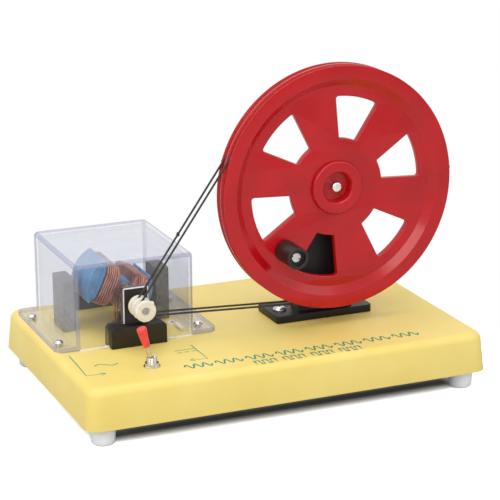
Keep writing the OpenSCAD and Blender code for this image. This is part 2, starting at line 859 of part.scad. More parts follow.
module toggle_nut() {
    color("#cfcfcc")
    translate([switch_x, switch_y, deck + washer_t]) difference() {
        intersection() {
            rotate(10) cylinder(h = nut_t, r = nut_flats/2/cos(30), $fn = 6);
            cylinder(h = nut_t, r1 = nut_flats/2 + 0.7, r2 = nut_flats/2 + 0.4);
        }
        translate([0, 0, -1]) cylinder(h = nut_t + 2, r = bushing_r);
    }
}

module toggle_pins() {
    color("#c8c2a8")
    for (i = [-1, 0, 1], j = [-0.5, 0.5]) translate(pin_at(i, j) - [0.9, 0.4, 0])
        cube([1.8, 0.8, pin_h]);
}

pivot_z = deck + pivot_up;

module toggle_lever() {
    color("#cbc6bc")
    translate([switch_x, switch_y, pivot_z]) rotate([0, -lever_lean, 0]) {
        sphere(ball_r);
        rod_y(0, -pivot_half, 0, pivot_r, 2*pivot_half);
        cylinder(h = lever_len - 0.8, r = lever_r);
    }
}

module lever_cap() {
    color("#f3504a")
    translate([switch_x, switch_y, pivot_z]) rotate([0, -lever_lean, 0])
        translate([0, 0, lever_len - cap_len]) difference() {
            rotate_extrude() polygon([[0, 0], [lever_cap_r - 0.7, 0], [lever_cap_r - 0.55, 0.3],
                [lever_cap_r, cap_len - 1.5], [lever_cap_r - 0.35, cap_len - 0.5],
                [lever_cap_r - 1.1, cap_len], [0, cap_len]]);
            translate([0, 0, -1]) cylinder(h = cap_len + 0.2, r = lever_r);
        }
}

// Output sockets

module socket_body(i) {
    translate([sockets_x[i], socket_y, deck]) difference() {
        union() {
            rotate_extrude() polygon([[0, 0], [socket_head_r, 0], [socket_head_r, socket_head_h - 1.4],
                [socket_head_r - 1.2, socket_head_h], [0, socket_head_h]]);
            translate([0, 0, -socket_stem_h]) cylinder(h = socket_stem_h, r = socket_stem_r);
        }
        translate([0, 0, -socket_stem_h - 1]) cylinder(h = 40, r = socket_sleeve_r);
    }
}

module output_socket_red() color("#c22323") socket_body(0);

module output_socket_black() color("#262424") socket_body(1);

module socket_sleeves() {
    color("#cdb98a")
    for (x = sockets_x) translate([x, socket_y, deck + socket_head_h - 1]) {
        translate([0, 0, -socket_sleeve_len]) difference() {
            cylinder(h = socket_sleeve_len, r = socket_sleeve_r);
            translate([0, 0, 3]) cylinder(h = socket_sleeve_len, r = socket_bore_r);
        }
        translate([-1, -0.4, -socket_sleeve_len - socket_tag_h]) cube([2, 0.8, socket_tag_h]);
    }
}

module socket_nuts() {
    color("#2a2827")
    for (x = sockets_x) translate([x, socket_y, under - socket_nut_t]) difference() {
        cylinder(h = socket_nut_t, r = socket_head_r + 0.6, $fn = 6);
        translate([0, 0, -1]) cylinder(h = socket_nut_t + 2, r = socket_stem_r);
    }
}

// Wheel stand

// Angle at which a line from the upright's foot touches its round top
module upright_outline() {
    far = sqrt(pow(upright_half, 2) + pow(axle_h, 2));
    touch = acos(upright_top_r/far) - atan2(axle_h, upright_half);
    tip = upright_top_r*[cos(touch), sin(touch)];
    translate([axle_x, axle_z]) {
        circle(upright_top_r);
        polygon([[-upright_half, -axle_h], [upright_half, -axle_h], tip, [-tip[0], tip[1]]]);
    }
}

module wheel_stand() {
    rear = stand_front + stand_d;
    high = deck + stand_t;
    color("#2b2826")
    difference() {
        union() {
            block([axle_x - stand_left, stand_front, deck], [axle_x + stand_right, rear, high]);
            slab_y(upright_front, upright_t) upright_outline();
            translate([axle_x - gusset_t/2, 0, 0]) rotate([90, 0, 90]) linear_extrude(gusset_t)
                polygon([[upright_rear - 1, deck], [rear - 1.5, deck], [rear - 1.5, high + 2],
                    [upright_rear - 1, deck + 0.6*axle_h]]);
        }
        rod_y(axle_x, upright_front - 1, axle_z, wheel_bush_r, upright_t + 2);
        for (x = stand_screws_x) translate([x, stand_screw_y, deck - 1])
            cylinder(h = stand_t + 2, r = stand_screw_r + hole_gap);
        for (x = [axle_x - stand_left, axle_x + stand_right]) translate([x, stand_front, deck - 1])
            rotate(45) cube([plate_chamfer*2, plate_chamfer*2, 20], center = true);
    }
}

module stand_screws() {
    color("#cfcfcd")
    for (x = stand_screws_x) translate([x, stand_screw_y, deck + stand_t]) rotate(70)
        pan_screw(stand_screw_r, stand_t + 8, 4.2, 2.4);
}

module wheel_bush() bush(axle_x, axle_z, wheel_bush_r, axle_r + run_gap, upright_front, upright_t,
    wheel_bush_flange_r, axle_flange_t);

// Belts

belt_dx = axle_x - shaft_x;
belt_dz = axle_z - shaft_z;
belt_far = sqrt(pow(belt_dx, 2) + pow(belt_dz, 2));
belt_tilt = atan2(belt_dz, belt_dx);
belt_spread = asin((belt_wheel_r - belt_pulley_r)/belt_far);
belt_run = belt_far*cos(belt_spread);

// Middle line of a belt as [point, outward direction]: round the wheel, then the pulley
wheel_steps = 48;
pulley_steps = 10;
function belt_line() = let (wrap = 90 + belt_spread) concat(
    [for (k = [0:wheel_steps]) let (a = wrap*(2*k/wheel_steps - 1), n = [cos(a), sin(a)])
        [[belt_far, 0] + belt_wheel_r*n, n]],
    [for (k = [0:pulley_steps]) let (a = wrap + (360 - 2*wrap)*k/pulley_steps, n = [cos(a), sin(a)])
        [belt_pulley_r*n, n]]);

// Endless belt with eight sides
module belt(y) {
    sides = 8;
    line = belt_line();
    rings = len(line);
    points = [for (q = line, k = [0:sides - 1]) let (a = 360*(k + 0.5)/sides, p = q[0]
        + belt_d/2*cos(a)*q[1]) [p[0], p[1], belt_d/2*sin(a)]];
    faces = [for (i = [0:rings - 1], k = [0:sides - 1]) let (n = (i + 1)%rings, m = (k + 1)%sides)
        each [[i*sides + k, i*sides + m, n*sides + k], [i*sides + m, n*sides + m, n*sides + k]]];
    color("#23211f")
    translate([shaft_x, y, shaft_z]) rotate([90, 0, 0]) rotate(belt_tilt)
        polyhedron(points = points, faces = faces);
}

module front_belt() belt(belt_y + belt_offsets[0]);

module rear_belt() belt(belt_y + belt_offsets[1]);

// Outline points of one belt groove, from front to back, at radius top_r
function groove(y, belt_r, top_r) = let (rise = top_r - belt_r, side = tan(groove_slope)) [
    [top_r, y - groove_wide - rise*side],
    [belt_r - groove_deep, y - groove_wide + groove_deep*side],
    [belt_r - groove_deep, y + groove_wide - groove_deep*side],
    [top_r, y + groove_wide + rise*side]];

// Armature

module armature_shaft() {
    color("#a9a7a3")
    rod_y(shaft_x, shaft_front, shaft_z, shaft_r, shaft_rear - shaft_front);
}

// Places children, drawn along +X, on one pole of the armature
module on_pole(turn) {
    translate([shaft_x, 0, shaft_z]) rotate([0, -first_pole - turn, 0]) children();
}

module core_outline() {
    half = shoe_angle/2;
    translate([shaft_x, shaft_z]) difference() {
        union() {
            for (a = poles) rotate(first_pole + a) {
                intersection() {
                    circle(pole_r, $fn = 96);
                    polygon([[shoe_flat, -shoe_flat*tan(half)], [2*pole_r, -2*pole_r*tan(half)],
                        [2*pole_r, 2*pole_r*tan(half)], [shoe_flat, shoe_flat*tan(half)]]);
                }
                translate([0, -stem_w/2]) square([shoe_flat + 1, stem_w]);
            }
            rotate(first_pole) round_rect(2*hub_flat, 2*hub_half, hub_corner);
        }
        circle(shaft_r);
    }
}

module armature_core() {
    color("#4f86bd")
    slab_y(core_front, core_len) core_outline();
}

// Thin cheeks that hold each winding, against the hub and under the shoe
module pole_insulation() {
    color("#3f7ab4")
    for (a = poles) on_pole(a) for (x = [hub_flat, shoe_flat - cheek_t]) difference() {
        translate([x, core_mid, 0]) rotate([90, 0, 90]) linear_extrude(cheek_t)
            round_rect(core_len + 2*wind_over + 2*wire_d + 0.6, 2*cheek_out, wind_corner);
        block([x - 1, core_front - run_gap, -stem_w/2 - run_gap],
            [x + cheek_t + 1, core_rear + run_gap, stem_w/2 + run_gap]);
    }
}

// Copper inside a winding, under its outer layer of turns
module coil_core(turn) {
    color("#a8603f")
    on_pole(turn) difference() {
        translate([wind_in, core_mid, 0]) rotate([90, 0, 90]) linear_extrude(wind_out - wind_in)
            round_rect(core_len + 2*wind_over, stem_w + 2*wind_t, wind_corner);
        block([wind_in - 1, core_front, -stem_w/2], [wind_out + 1, core_rear, stem_w/2]);
    }
}

// Outer layer: 24 points a turn, six to each round corner of the winding
turn_points = 24;
turn_half_y = core_len/2 + wind_over + turn_out;
turn_half_z = stem_w/2 + wind_t + turn_out;
turn_r = wind_corner + turn_out;
function corner_at(c) = [(c == 0 || c == 3 ? 1 : -1)*(turn_half_y - turn_r),
    (c < 2 ? 1 : -1)*(turn_half_z - turn_r)];
function corner_point(c, a) = corner_at(c%4) + turn_r*[cos(90*c + a), sin(90*c + a)];
function turn_point(k) = corner_point(floor(k/6), 18*(k%6));
function turn_place(i) = let (p = turn_point(i%turn_points))
    [wind_in + turn_end + turn_pitch*i/turn_points, core_mid + p[0], p[1]];
turn_last = turns*turn_points;
turn_path = concat([turn_place(0) - [turn_end, 0, 0]],
    [for (i = [0:turn_last]) turn_place(i)],
    [turn_place(turn_last) + [turn_end, 0, 0]]);
turn_least = min([for (i = [1:turn_last - turn_points + 1]) norm(turn_path[i + turn_points] - turn_path[i])]);
turn_air = turn_least - wire_d;

module coil_turns(turn) {
    color("#b8704a")
    on_pole(turn) tube(turn_path, wire_d/2, 6);
}

module ring_sleeve() {
    color("#d9d2c3")
    difference() {
        rod_y(shaft_x, sleeve_front, shaft_z, sleeve_r, sleeve_rear - sleeve_front);
        rod_y(shaft_x, sleeve_front - 1, shaft_z, shaft_r, sleeve_rear - sleeve_front + 2);
    }
}

module slip_rings() {
    color("#c6a04d")
    for (y = [ring_a, ring_b]) difference() {
        rod_y(shaft_x, y, shaft_z, ring_r, ring_w);
        rod_y(shaft_x, y - 1, shaft_z, sleeve_r, ring_w + 2);
    }
}

module commutator() {
    color("#b87048")
    difference() {
        rod_y(shaft_x, comm_front, shaft_z, ring_r, comm_w);
        rod_y(shaft_x, comm_front - 1, shaft_z, sleeve_r, comm_w + 2);
        for (a = poles) on_pole(a + 90) block([0, comm_front - 1, -segment_gap/2],
            [2*ring_r, comm_front + comm_w + 1, segment_gap/2]);
    }
}

module shaft_collar() {
    color("#b4b2ae")
    difference() {
        rod_y(shaft_x, rear_block_front - bush_flange_t - end_gap - collar_w, shaft_z, collar_r, collar_w);
        rod_y(shaft_x, core_rear, shaft_z, shaft_r, 30);
    }
}

module pulley() {
    face = 1.4;
    hub_r = 4.9;
    color("#e7e5d6")
    difference() {
        turned_y(shaft_x, shaft_z, concat(
            [[0, pulley_front], [pulley_r - 0.7, pulley_front], [pulley_r, pulley_front + 0.7]],
            groove(belt_y + belt_offsets[0], belt_pulley_r, pulley_r),
            groove(belt_y + belt_offsets[1], belt_pulley_r, pulley_r),
            [[pulley_r, pulley_rear - 2.6], [hub_r, pulley_rear - 2], [hub_r, pulley_rear],
            [0, pulley_rear]]));
        rod_y(shaft_x, pulley_front - 1, shaft_z, pulley_bore_r, pulley_len + 2);
        rod_y(shaft_x, pulley_front - 1, shaft_z, pulley_bore_r + 0.25, face + 1);
    }
}

// Wheel

// Window between two radii, with the sides leaning in towards the hub
module window_outline() {
    steps = 8;
    function arc(r, half, sign) = [for (i = [0:steps]) r*[cos(sign*half*(2*i/steps - 1)),
        sin(sign*half*(2*i/steps - 1))]];
    offset(r = window_r, $fn = 24) offset(delta = -window_r)
        polygon(concat(arc(window_out, window_half_out, 1), arc(window_in, window_half_in, -1)));
}

module drive_wheel() {
    rim_in = wheel_r - rim_face;
    color("#cb1f26")
    difference() {
        turned_y(axle_x, axle_z, concat(
            [[0, boss_front + counterbore_deep], [counterbore_r, boss_front + counterbore_deep],
            [counterbore_r, boss_front], [boss_r - 1.2, boss_front], [boss_r, web_front - 0.3],
            [boss_r, web_front], [web_r, web_front], [rim_in - 0.7, rim_front + 0.5],
            [rim_in, rim_front], [wheel_r - lip_chamfer, rim_front], [wheel_r, rim_front + lip_chamfer]],
            groove(belt_y + belt_offsets[0], belt_wheel_r, wheel_r),
            groove(belt_y + belt_offsets[1], belt_wheel_r, wheel_r),
            [[wheel_r, rim_rear - lip_chamfer], [wheel_r - lip_chamfer, rim_rear], [rim_in, rim_rear],
            [web_r, web_rear], [rear_hub_r + 1, web_rear], [rear_hub_r, hub_rear], [0, hub_rear]]));
        rod_y(axle_x, boss_front - 1, axle_z, axle_r, 40);
        rod_y(handle_x, web_front - 1, handle_z, handle_pin_r, web_t + 2);
        for (i = [0:windows - 1]) translate([axle_x, 0, axle_z])
            rotate([0, -window_turn - 360/windows*i, 0]) slab_y(web_front - 1, web_t + 2) window_outline();
    }
}

module wheel_axle() {
    color("#e4e4e2")
    turned_y(axle_x, axle_z, [[0, boss_front + axle_in], [axle_r - axle_bevel, boss_front + axle_in],
        [axle_r, boss_front + axle_in + axle_bevel], [axle_r, axle_end], [0, axle_end]]);
}

axle_end = upright_rear + end_gap + collar_len + 1;

module axle_collar() {
    color("#b4b2ae")
    difference() {
        rod_y(axle_x, upright_rear + end_gap, axle_z, axle_r + 3.2, collar_len);
        rod_y(axle_x, upright_rear - 1, axle_z, axle_r, collar_len + 4);
        translate([axle_x, upright_rear + end_gap + collar_len/2, axle_z + axle_r + 1.4])
            cylinder(h = 5, r = 1);
    }
}

module handle_screw() {
    head_front = handle_front + recess_deep - loose_gap - handle_head_h;
    pin_len = web_rear - head_front - handle_head_h;
    color("#d6d6d4")
    difference() {
        union() {
            rod_y(handle_x, head_front, handle_z, handle_head_r, handle_head_h);
            rod_y(handle_x, head_front + handle_head_h - 0.2, handle_z, handle_pin_r, pin_len + 0.2);
        }
        translate([handle_x, head_front, handle_z]) rotate([0, 25, 0])
            cube([2.2*handle_head_r, handle_head_h, 0.8], center = true);
    }
}

module crank_handle() {
    chamfer = 0.8;
    color("#2c2a29")
    turned_y(handle_x, handle_z, [[handle_pin_r + run_gap, handle_front + recess_deep],
        [recess_r, handle_front + recess_deep], [recess_r, handle_front + 0.3],
        [recess_r + 0.4, handle_front], [handle_r - chamfer, handle_front],
        [handle_r, handle_front + chamfer], [handle_r, handle_rear - chamfer/2],
        [handle_r - chamfer/2, handle_rear], [handle_pin_r + run_gap, handle_rear]]);
}

echo(turns_least_gap = turn_air);

base_shell();
bottom_plate();
foot(feet_x[0], feet_y[0]);  // foot_front_left
foot(feet_x[1], feet_y[0]);  // foot_front_right
foot(feet_x[0], feet_y[1]);  // foot_rear_left
foot(feet_x[1], feet_y[1]);  // foot_rear_right
foot_screws();
clear_cover();
cover_screws();
front_bearing_block();
rear_bearing_block();
bearing_block_screws();
front_bush();
rear_bush();
left_magnet();
right_magnet();
brush_block();
slip_ring_brushes();
commutator_brushes();
brush_screws();
lead_grommet();
lead_sleeve();
brush_leads();
socket_leads();
toggle_body();
toggle_bushing();
toggle_washer();
toggle_nut();
toggle_pins();
output_socket_red();
output_socket_black();
socket_sleeves();
socket_nuts();
wheel_stand();
stand_screws();
wheel_bush();
front_belt();
rear_belt();
armature_shaft();
armature_core();
pole_insulation();
coil_core(poles[0]);  // coil_core_a
coil_core(poles[1]);  // coil_core_b
coil_turns(poles[0]);  // coil_turns_a
coil_turns(poles[1]);  // coil_turns_b
ring_sleeve();
slip_rings();
commutator();
shaft_collar();
pulley();
drive_wheel();
wheel_axle();
axle_collar();
handle_screw();
crank_handle();
toggle_lever();
lever_cap();
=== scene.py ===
from math import asin, atan2, cos, hypot, pi, radians, sin, sqrt, tan
import bpy
from mathutils import Matrix, Vector


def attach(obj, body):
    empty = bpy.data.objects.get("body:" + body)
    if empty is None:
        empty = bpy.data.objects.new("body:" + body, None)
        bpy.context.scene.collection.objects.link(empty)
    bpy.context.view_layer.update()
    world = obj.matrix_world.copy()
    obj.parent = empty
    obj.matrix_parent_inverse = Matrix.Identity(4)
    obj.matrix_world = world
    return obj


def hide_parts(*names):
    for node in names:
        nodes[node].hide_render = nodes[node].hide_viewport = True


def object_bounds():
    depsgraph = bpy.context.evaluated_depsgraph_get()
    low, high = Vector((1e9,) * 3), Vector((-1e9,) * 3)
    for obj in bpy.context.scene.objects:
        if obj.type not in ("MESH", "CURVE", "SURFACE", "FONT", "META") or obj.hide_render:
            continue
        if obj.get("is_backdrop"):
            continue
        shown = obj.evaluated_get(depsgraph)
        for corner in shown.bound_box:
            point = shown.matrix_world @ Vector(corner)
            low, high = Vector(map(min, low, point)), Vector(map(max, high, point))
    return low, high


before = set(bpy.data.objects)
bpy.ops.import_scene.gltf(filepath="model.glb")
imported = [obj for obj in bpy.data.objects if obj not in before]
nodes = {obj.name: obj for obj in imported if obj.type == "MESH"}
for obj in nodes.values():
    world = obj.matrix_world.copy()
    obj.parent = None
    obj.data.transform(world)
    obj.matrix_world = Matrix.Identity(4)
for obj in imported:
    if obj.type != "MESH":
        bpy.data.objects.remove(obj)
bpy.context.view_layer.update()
bpy.ops.object.select_all(action="DESELECT")
print("frame loaded with", len(nodes), "nodes")

mm = 0.001
weldWithin = 0.002 * mm    # points closer than this become one

# Places that several pieces share, in millimetres from the middle of the base on the floor
place = {
    "width": 254,          # of the base, along X
    "depth": 165,
    "deck": 35.6,          # its top
    "shaft": (-73.2, 60.6),    # X and Z of the armature's shaft
    "axle": (51.3, 120.9),     # and of the wheel's axle
    "beltY": -24.6,        # half way between the two belts
    "beltPitch": 6.1,
    "coreMid": 29.25,      # middle of the armature's core on Y
    "poleTurn": 155,       # of the armature's poles round the shaft, in degrees
}
deck = place["deck"]
shaftX, shaftZ = place["shaft"]


def linear(hexText):
    channels = [int(hexText[i:i + 2], 16) / 255 for i in (1, 3, 5)]
    return [c / 12.92 if c <= 0.04045 else ((c + 0.055) / 1.055) ** 2.4 for c in channels] + [1.0]


# Sets a node's inputs, or links them: a node stands for its first output
def feed(tree, node, inputs):
    for name, value in inputs.items():
        if isinstance(value, bpy.types.Node):
            value = value.outputs[0]
        if isinstance(value, bpy.types.NodeSocket):
            tree.links.new(value, node.inputs[name])
        else:
            node.inputs[name].default_value = value


def addNode(tree, kind, inputs={}, **settings):
    node = tree.nodes.new(kind)
    for name, value in settings.items():
        setattr(node, name, value)
    feed(tree, node, inputs)
    return node


# leverCap for lever_cap
def camel(nodeName):
    first, *others = nodeName.split("_")
    return first + "".join(word.title() for word in others)


def activate(piece):
    bpy.ops.object.select_all(action="DESELECT")
    piece.select_set(True)
    bpy.context.view_layer.objects.active = piece


def editAll(piece):
    activate(piece)
    bpy.ops.object.mode_set(mode="EDIT")
    bpy.ops.mesh.select_all(action="SELECT")


def leaveEdit():
    bpy.ops.object.mode_set(mode="OBJECT")


# Selects what test says, in edit mode: faces by centre and normal, edges by both ends, points by place
def pick(piece, kind, test):
    if bpy.context.mode != "OBJECT":
        leaveEdit()
    editAll(piece)
    bpy.ops.mesh.select_mode(type=kind)
    bpy.ops.mesh.select_all(action="DESELECT")
    leaveEdit()
    mesh = piece.data
    if kind == "FACE":
        for face in mesh.polygons:
            face.select = test(face.center / mm, face.normal)
    elif kind == "EDGE":
        for edge in mesh.edges:
            a, b = (mesh.vertices[i].co / mm for i in edge.vertices)
            edge.select = test(a, b)
    else:
        for vertex in mesh.vertices:
            vertex.select = test(vertex.co / mm)
    bpy.ops.object.mode_set(mode="EDIT")


def mendNormals(piece):
    editAll(piece)
    bpy.ops.mesh.remove_doubles(threshold=weldWithin)
    bpy.ops.mesh.normals_make_consistent(inside=False)
    leaveEdit()


# Loose or cut triangles become whole flat faces
def mergeFlat(piece):
    editAll(piece)
    bpy.ops.mesh.remove_doubles(threshold=weldWithin)
    bpy.ops.mesh.dissolve_limited(angle_limit=radians(0.6))
    leaveEdit()


def applyModifier(piece, kind, **settings):
    activate(piece)
    modifier = piece.modifiers.new(kind.title(), kind)
    for name, value in settings.items():
        setattr(modifier, name, value)
    bpy.ops.object.modifier_apply(modifier=modifier.name)


def bevelSharp(piece, width, segments, limit=40):
    applyModifier(piece, "BEVEL", width=width * mm, segments=segments, limit_method="ANGLE",
                  angle_limit=radians(limit), use_clamp_overlap=True)


def cutWith(piece, cutter, how="DIFFERENCE"):
    applyModifier(piece, "BOOLEAN", operation=how, object=cutter, solver="EXACT")
    bpy.data.objects.remove(cutter)


def joinAll(pieces):
    activate(pieces[0])
    for piece in pieces:
        piece.select_set(True)
    bpy.ops.object.join()
    return bpy.context.object


def applyPlace():
    bpy.ops.object.transform_apply(location=True, rotation=True, scale=True)
    return bpy.context.object


def moveTo(piece, x=0, y=0, z=0, turn=(0, 0, 0)):
    activate(piece)
    piece.rotation_euler = turn
    piece.location = (x * mm, y * mm, z * mm)
    return applyPlace()


def copyPiece(piece):
    activate(piece)
    bpy.ops.object.duplicate()
    return bpy.context.object


def giveFinish(piece, material):
    piece.data.materials.clear()
    piece.data.materials.append(material)


# Named after the node that it stands for, unless it is given a name
def finishPiece(piece, body, material, nodeName="", name="", sharp=32):
    activate(piece)
    applyPlace()
    bpy.ops.object.shade_smooth_by_angle(angle=radians(sharp))
    piece.name = name or camel(nodeName)
    piece.data.name = piece.name
    giveFinish(piece, material)
    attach(piece, body)
    if nodeName:
        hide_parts(nodeName)
    piece.select_set(False)


# Block round a middle, as a start or a cutter
def block(middle, size):
    bpy.ops.mesh.primitive_cube_add(size=1, location=[c * mm for c in middle], scale=[c * mm for c in size])
    return applyPlace()


# Round lump stretched by shape, of even faces by level, or of segments and rings
def lump(middle, radius, shape, level=2, segments=0, rings=0):
    spot = [c * mm for c in middle]
    if rings:
        bpy.ops.mesh.primitive_uv_sphere_add(segments=segments, ring_count=rings, radius=radius * mm,
                                             location=spot, scale=shape)
    else:
        bpy.ops.mesh.primitive_ico_sphere_add(subdivisions=level, radius=radius * mm,
                                              location=spot, scale=shape)
    return applyPlace()


# The point u, v turned by an angle about a middle
def swung(u, v, angle, middle=(0, 0)):
    return (middle[0] + u * cos(angle) - v * sin(angle), middle[1] + u * sin(angle) + v * cos(angle))


# Closed outline of (u, v, radius) corners, each rounded by its radius unless it is nearly straight
def softened(corners, steps=5):
    outline = []
    for i, (u, v, radius) in enumerate(corners):
        here = Vector((u, v))
        before = Vector(corners[i - 1][:2]) - here
        after = Vector(corners[(i + 1) % len(corners)][:2]) - here
        half = before.angle(after, 0) / 2
        if radius <= 0 or not radians(2) < half < radians(88):
            outline.append((u, v))
            continue
        reach = min(radius / tan(half), before.length * 0.48, after.length * 0.48)    # under half a side
        fillet = reach * tan(half)
        middle = here + (before.normalized() + after.normalized()).normalized() * fillet / sin(half)
        start = here + before.normalized() * reach - middle
        end = here + after.normalized() * reach - middle
        turn = start.angle_signed(end)
        for k in range(steps + 1):
            outline.append(swung(start.x, start.y, -turn * k / steps, middle))
    return outline


def circleOutline(radius, count):
    return [swung(radius, 0, 2 * pi * k / count) for k in range(count)]


# Mesh circle whose points are moved onto an outline
def outlineRing(outline):
    bpy.ops.mesh.primitive_circle_add(vertices=len(outline), radius=1, location=(0, 0, 0))
    ring = bpy.context.object
    for vertex, (u, v) in zip(ring.data.vertices, outline):
        vertex.co = (u * mm, v * mm, 0)
    return ring


# Outline of (radius, y) turned round the Y axis at x, z
def turned(outline, x=0, z=0, steps=96):
    ring = outlineRing(outline)
    editAll(ring)
    bpy.ops.mesh.spin(steps=steps, angle=2 * pi, center=(0, 0, 0), axis=(0, 1, 0))
    leaveEdit()
    mendNormals(ring)
    return moveTo(ring, x, 0, z)


# Outline of (radius, z) turned round the Z axis at x, y
def turnedUp(outline, x=0, y=0, z=0, steps=48):
    return moveTo(turned(outline, steps=steps), x, y, z, (pi / 2, 0, 0))


# Plain round rod along Y with bevelled ends
def turnedRod(rod, middle, steps):
    return turned(softened([(0, rod["front"], 0), (rod["r"], rod["front"], rod["bevel"]),
                            (rod["r"], rod["rear"], rod["bevel"]), (0, rod["rear"], 0)]), *middle, steps)


# Plate that stands up: outlines in X and Z, holes among them, and a thickness back from y
def standingPlate(outlines, y, thick, edge):
    joinAll([outlineRing(outline) for outline in outlines])
    bpy.ops.object.convert(target="CURVE")
    curve = bpy.context.object.data
    curve.dimensions = "2D"
    curve.fill_mode = "BOTH"
    curve.extrude = (thick / 2 - edge) * mm
    curve.bevel_depth = edge * mm
    curve.bevel_resolution = 2
    curve.offset = -edge * mm
    bpy.ops.object.convert(target="MESH")
    plate = bpy.context.object
    mendNormals(plate)
    return moveTo(plate, 0, y + thick / 2, 0, (pi / 2, 0, 0))


# Round cord through points, closed into a loop or with flat ends
def cordThrough(points, radius, closed=False, sides=2):
    bpy.ops.curve.primitive_nurbs_path_add()
    curve = bpy.context.object.data
    curve.splines.clear()
    curve.bevel_depth = radius * mm
    curve.bevel_resolution = sides
    curve.use_fill_caps = not closed
    line = curve.splines.new("POLY")
    line.points.add(len(points) - 1)
    for point, (x, y, z) in zip(line.points, points):
        point.co = (x * mm, y * mm, z * mm, 1)
    line.use_cyclic_u = closed
    bpy.ops.object.convert(target="MESH")
    piece = bpy.context.object
    mendNormals(piece)
    return piece


# Own copy of a CAD node's mesh, merged, with its sharp edges softened
def nodeCopy(nodeName, edge=0, segments=2, limit=40):
    piece = bpy.data.objects.new(nodeName + "Dressed", nodes[nodeName].data.copy())
    bpy.context.scene.collection.objects.link(piece)
    activate(piece)
    if piece.data.has_custom_normals:
        bpy.ops.mesh.customdata_custom_splitnormals_clear()
    mergeFlat(piece)
    if edge:
        bevelSharp(piece, edge, segments, limit)
    return piece


cameraView = {
    "at": (-430.0, -1032.3, 414.3),
    "yaw": 22.893,         # degrees to the right of +Y
    "down": 16.619,
    "roll": -0.313,
    "focal": 1923.1,       # in pixels of a frame that is so wide:
    "frame": 500,
    "sensor": 36,
}
yaw, down, roll = (radians(cameraView[k]) for k in ("yaw", "down", "roll"))
ahead = Vector((sin(yaw) * cos(down), cos(yaw) * cos(down), -sin(down)))
level = Vector((cos(yaw), -sin(yaw), 0))
upright = level.cross(ahead)
sideways = level * cos(roll) + upright * sin(roll)
upwards = upright * cos(roll) - level * sin(roll)
bpy.ops.object.camera_add()
camera = bpy.context.object
camera.matrix_world = Matrix([(sideways[i], upwards[i], -ahead[i], cameraView["at"][i] * mm)
                              for i in range(3)] + [(0, 0, 0, 1)])
camera.data.sensor_width = cameraView["sensor"]
camera.data.lens = cameraView["focal"] / cameraView["frame"] * cameraView["sensor"]
camera.data.clip_start = 0.05
camera.data.clip_end = 20
bpy.context.scene.camera = camera
bpy.context.scene.view_settings.view_transform = "Standard"

studio = {
    "worldStrength": 0.5,
    "floorSize": 14,       # metres
    "aim": (0, 0, 0.08),   # where the lamps point
    "paper": 0.7,
    "paperSeen": 3.4,      # the floor in front, as the camera and glass see it
    "paintedShadowShare": 0.11,     # painted shadow: the floor's share of its brightness deep under the base
    "shadeFrom": 7, "shadeTo": 19,    # how far in from the base's edges that painted shadow starts and ends
    "paperGloss": 0.8,     # as gloss sees it
    "backFrom": -60, "backTo": 10,    # behind these places on Y the floor runs into the white backdrop
    # name, place in metres, size in metres, watts, colour
    "lamps": [
        ("keyLamp", (-0.5, -1.05, 0.85), 0.9, 6.6, "#FFFAF2"),
        ("sideLamp", (-1.5, -0.2, 0.75), 1.0, 4.5, "#FFFDF8"),
        ("fillLamp", (1.3, -1.3, 1.1), 1.3, 4.6, "#F8F9FF"),
        ("topLamp", (-0.1, 0.0, 1.5), 1.3, 9.0, "#FFFFFF"),
    ],
}
white = (1, 1, 1, 1)


# 1 for what the camera sees, straight or through the clear box
def seenByCamera(tree, rays):
    return addNode(tree, "ShaderNodeMath", {0: rays["Is Camera Ray"], 1: rays["Is Transmission Ray"]},
                   operation="MAXIMUM")


world = bpy.context.scene.world or bpy.data.worlds.new("studio")
bpy.context.scene.world = world
world.use_nodes = True
sky = world.node_tree
sky.nodes.clear()
skyRays = addNode(sky, "ShaderNodeLightPath").outputs
softWhite = addNode(sky, "ShaderNodeBackground", {"Color": white, "Strength": studio["worldStrength"]})
seenWhite = addNode(sky, "ShaderNodeBackground", {"Color": white, "Strength": 1.0})
seenRay = addNode(sky, "ShaderNodeMath", {0: seenByCamera(sky, skyRays), 1: skyRays["Is Glossy Ray"]},
                  operation="MAXIMUM")
chooser = addNode(sky, "ShaderNodeMixShader", {0: seenRay, 1: softWhite, 2: seenWhite})
addNode(sky, "ShaderNodeOutputWorld", {"Surface": chooser})
for name, spot, size, watts, colour in studio["lamps"]:
    bpy.ops.object.light_add(type="AREA", location=spot)
    lamp = bpy.context.object
    lamp.name = name
    light = lamp.data
    light.shape = "DISK"
    light.size = size
    light.energy = watts
    light.color = linear(colour)[:3]
    lamp.rotation_euler = (Vector(studio["aim"]) - Vector(spot)).to_track_quat("-Z", "Y").to_euler()

bpy.ops.mesh.primitive_plane_add(size=studio["floorSize"])
floor = bpy.context.object
floor.name = "studioFloor"
floorPaper = bpy.data.materials.new("whiteStudioPaper")
floorPaper.use_nodes = True
paper = floorPaper.node_tree
paper.nodes.clear()
paperRays = addNode(paper, "ShaderNodeLightPath").outputs
matte = addNode(paper, "ShaderNodeBsdfDiffuse", {"Color": [studio["paper"]] * 3 + [1]})
paperAt = addNode(paper, "ShaderNodeSeparateXYZ",
                  {0: addNode(paper, "ShaderNodeTexCoord").outputs["Object"]}).outputs
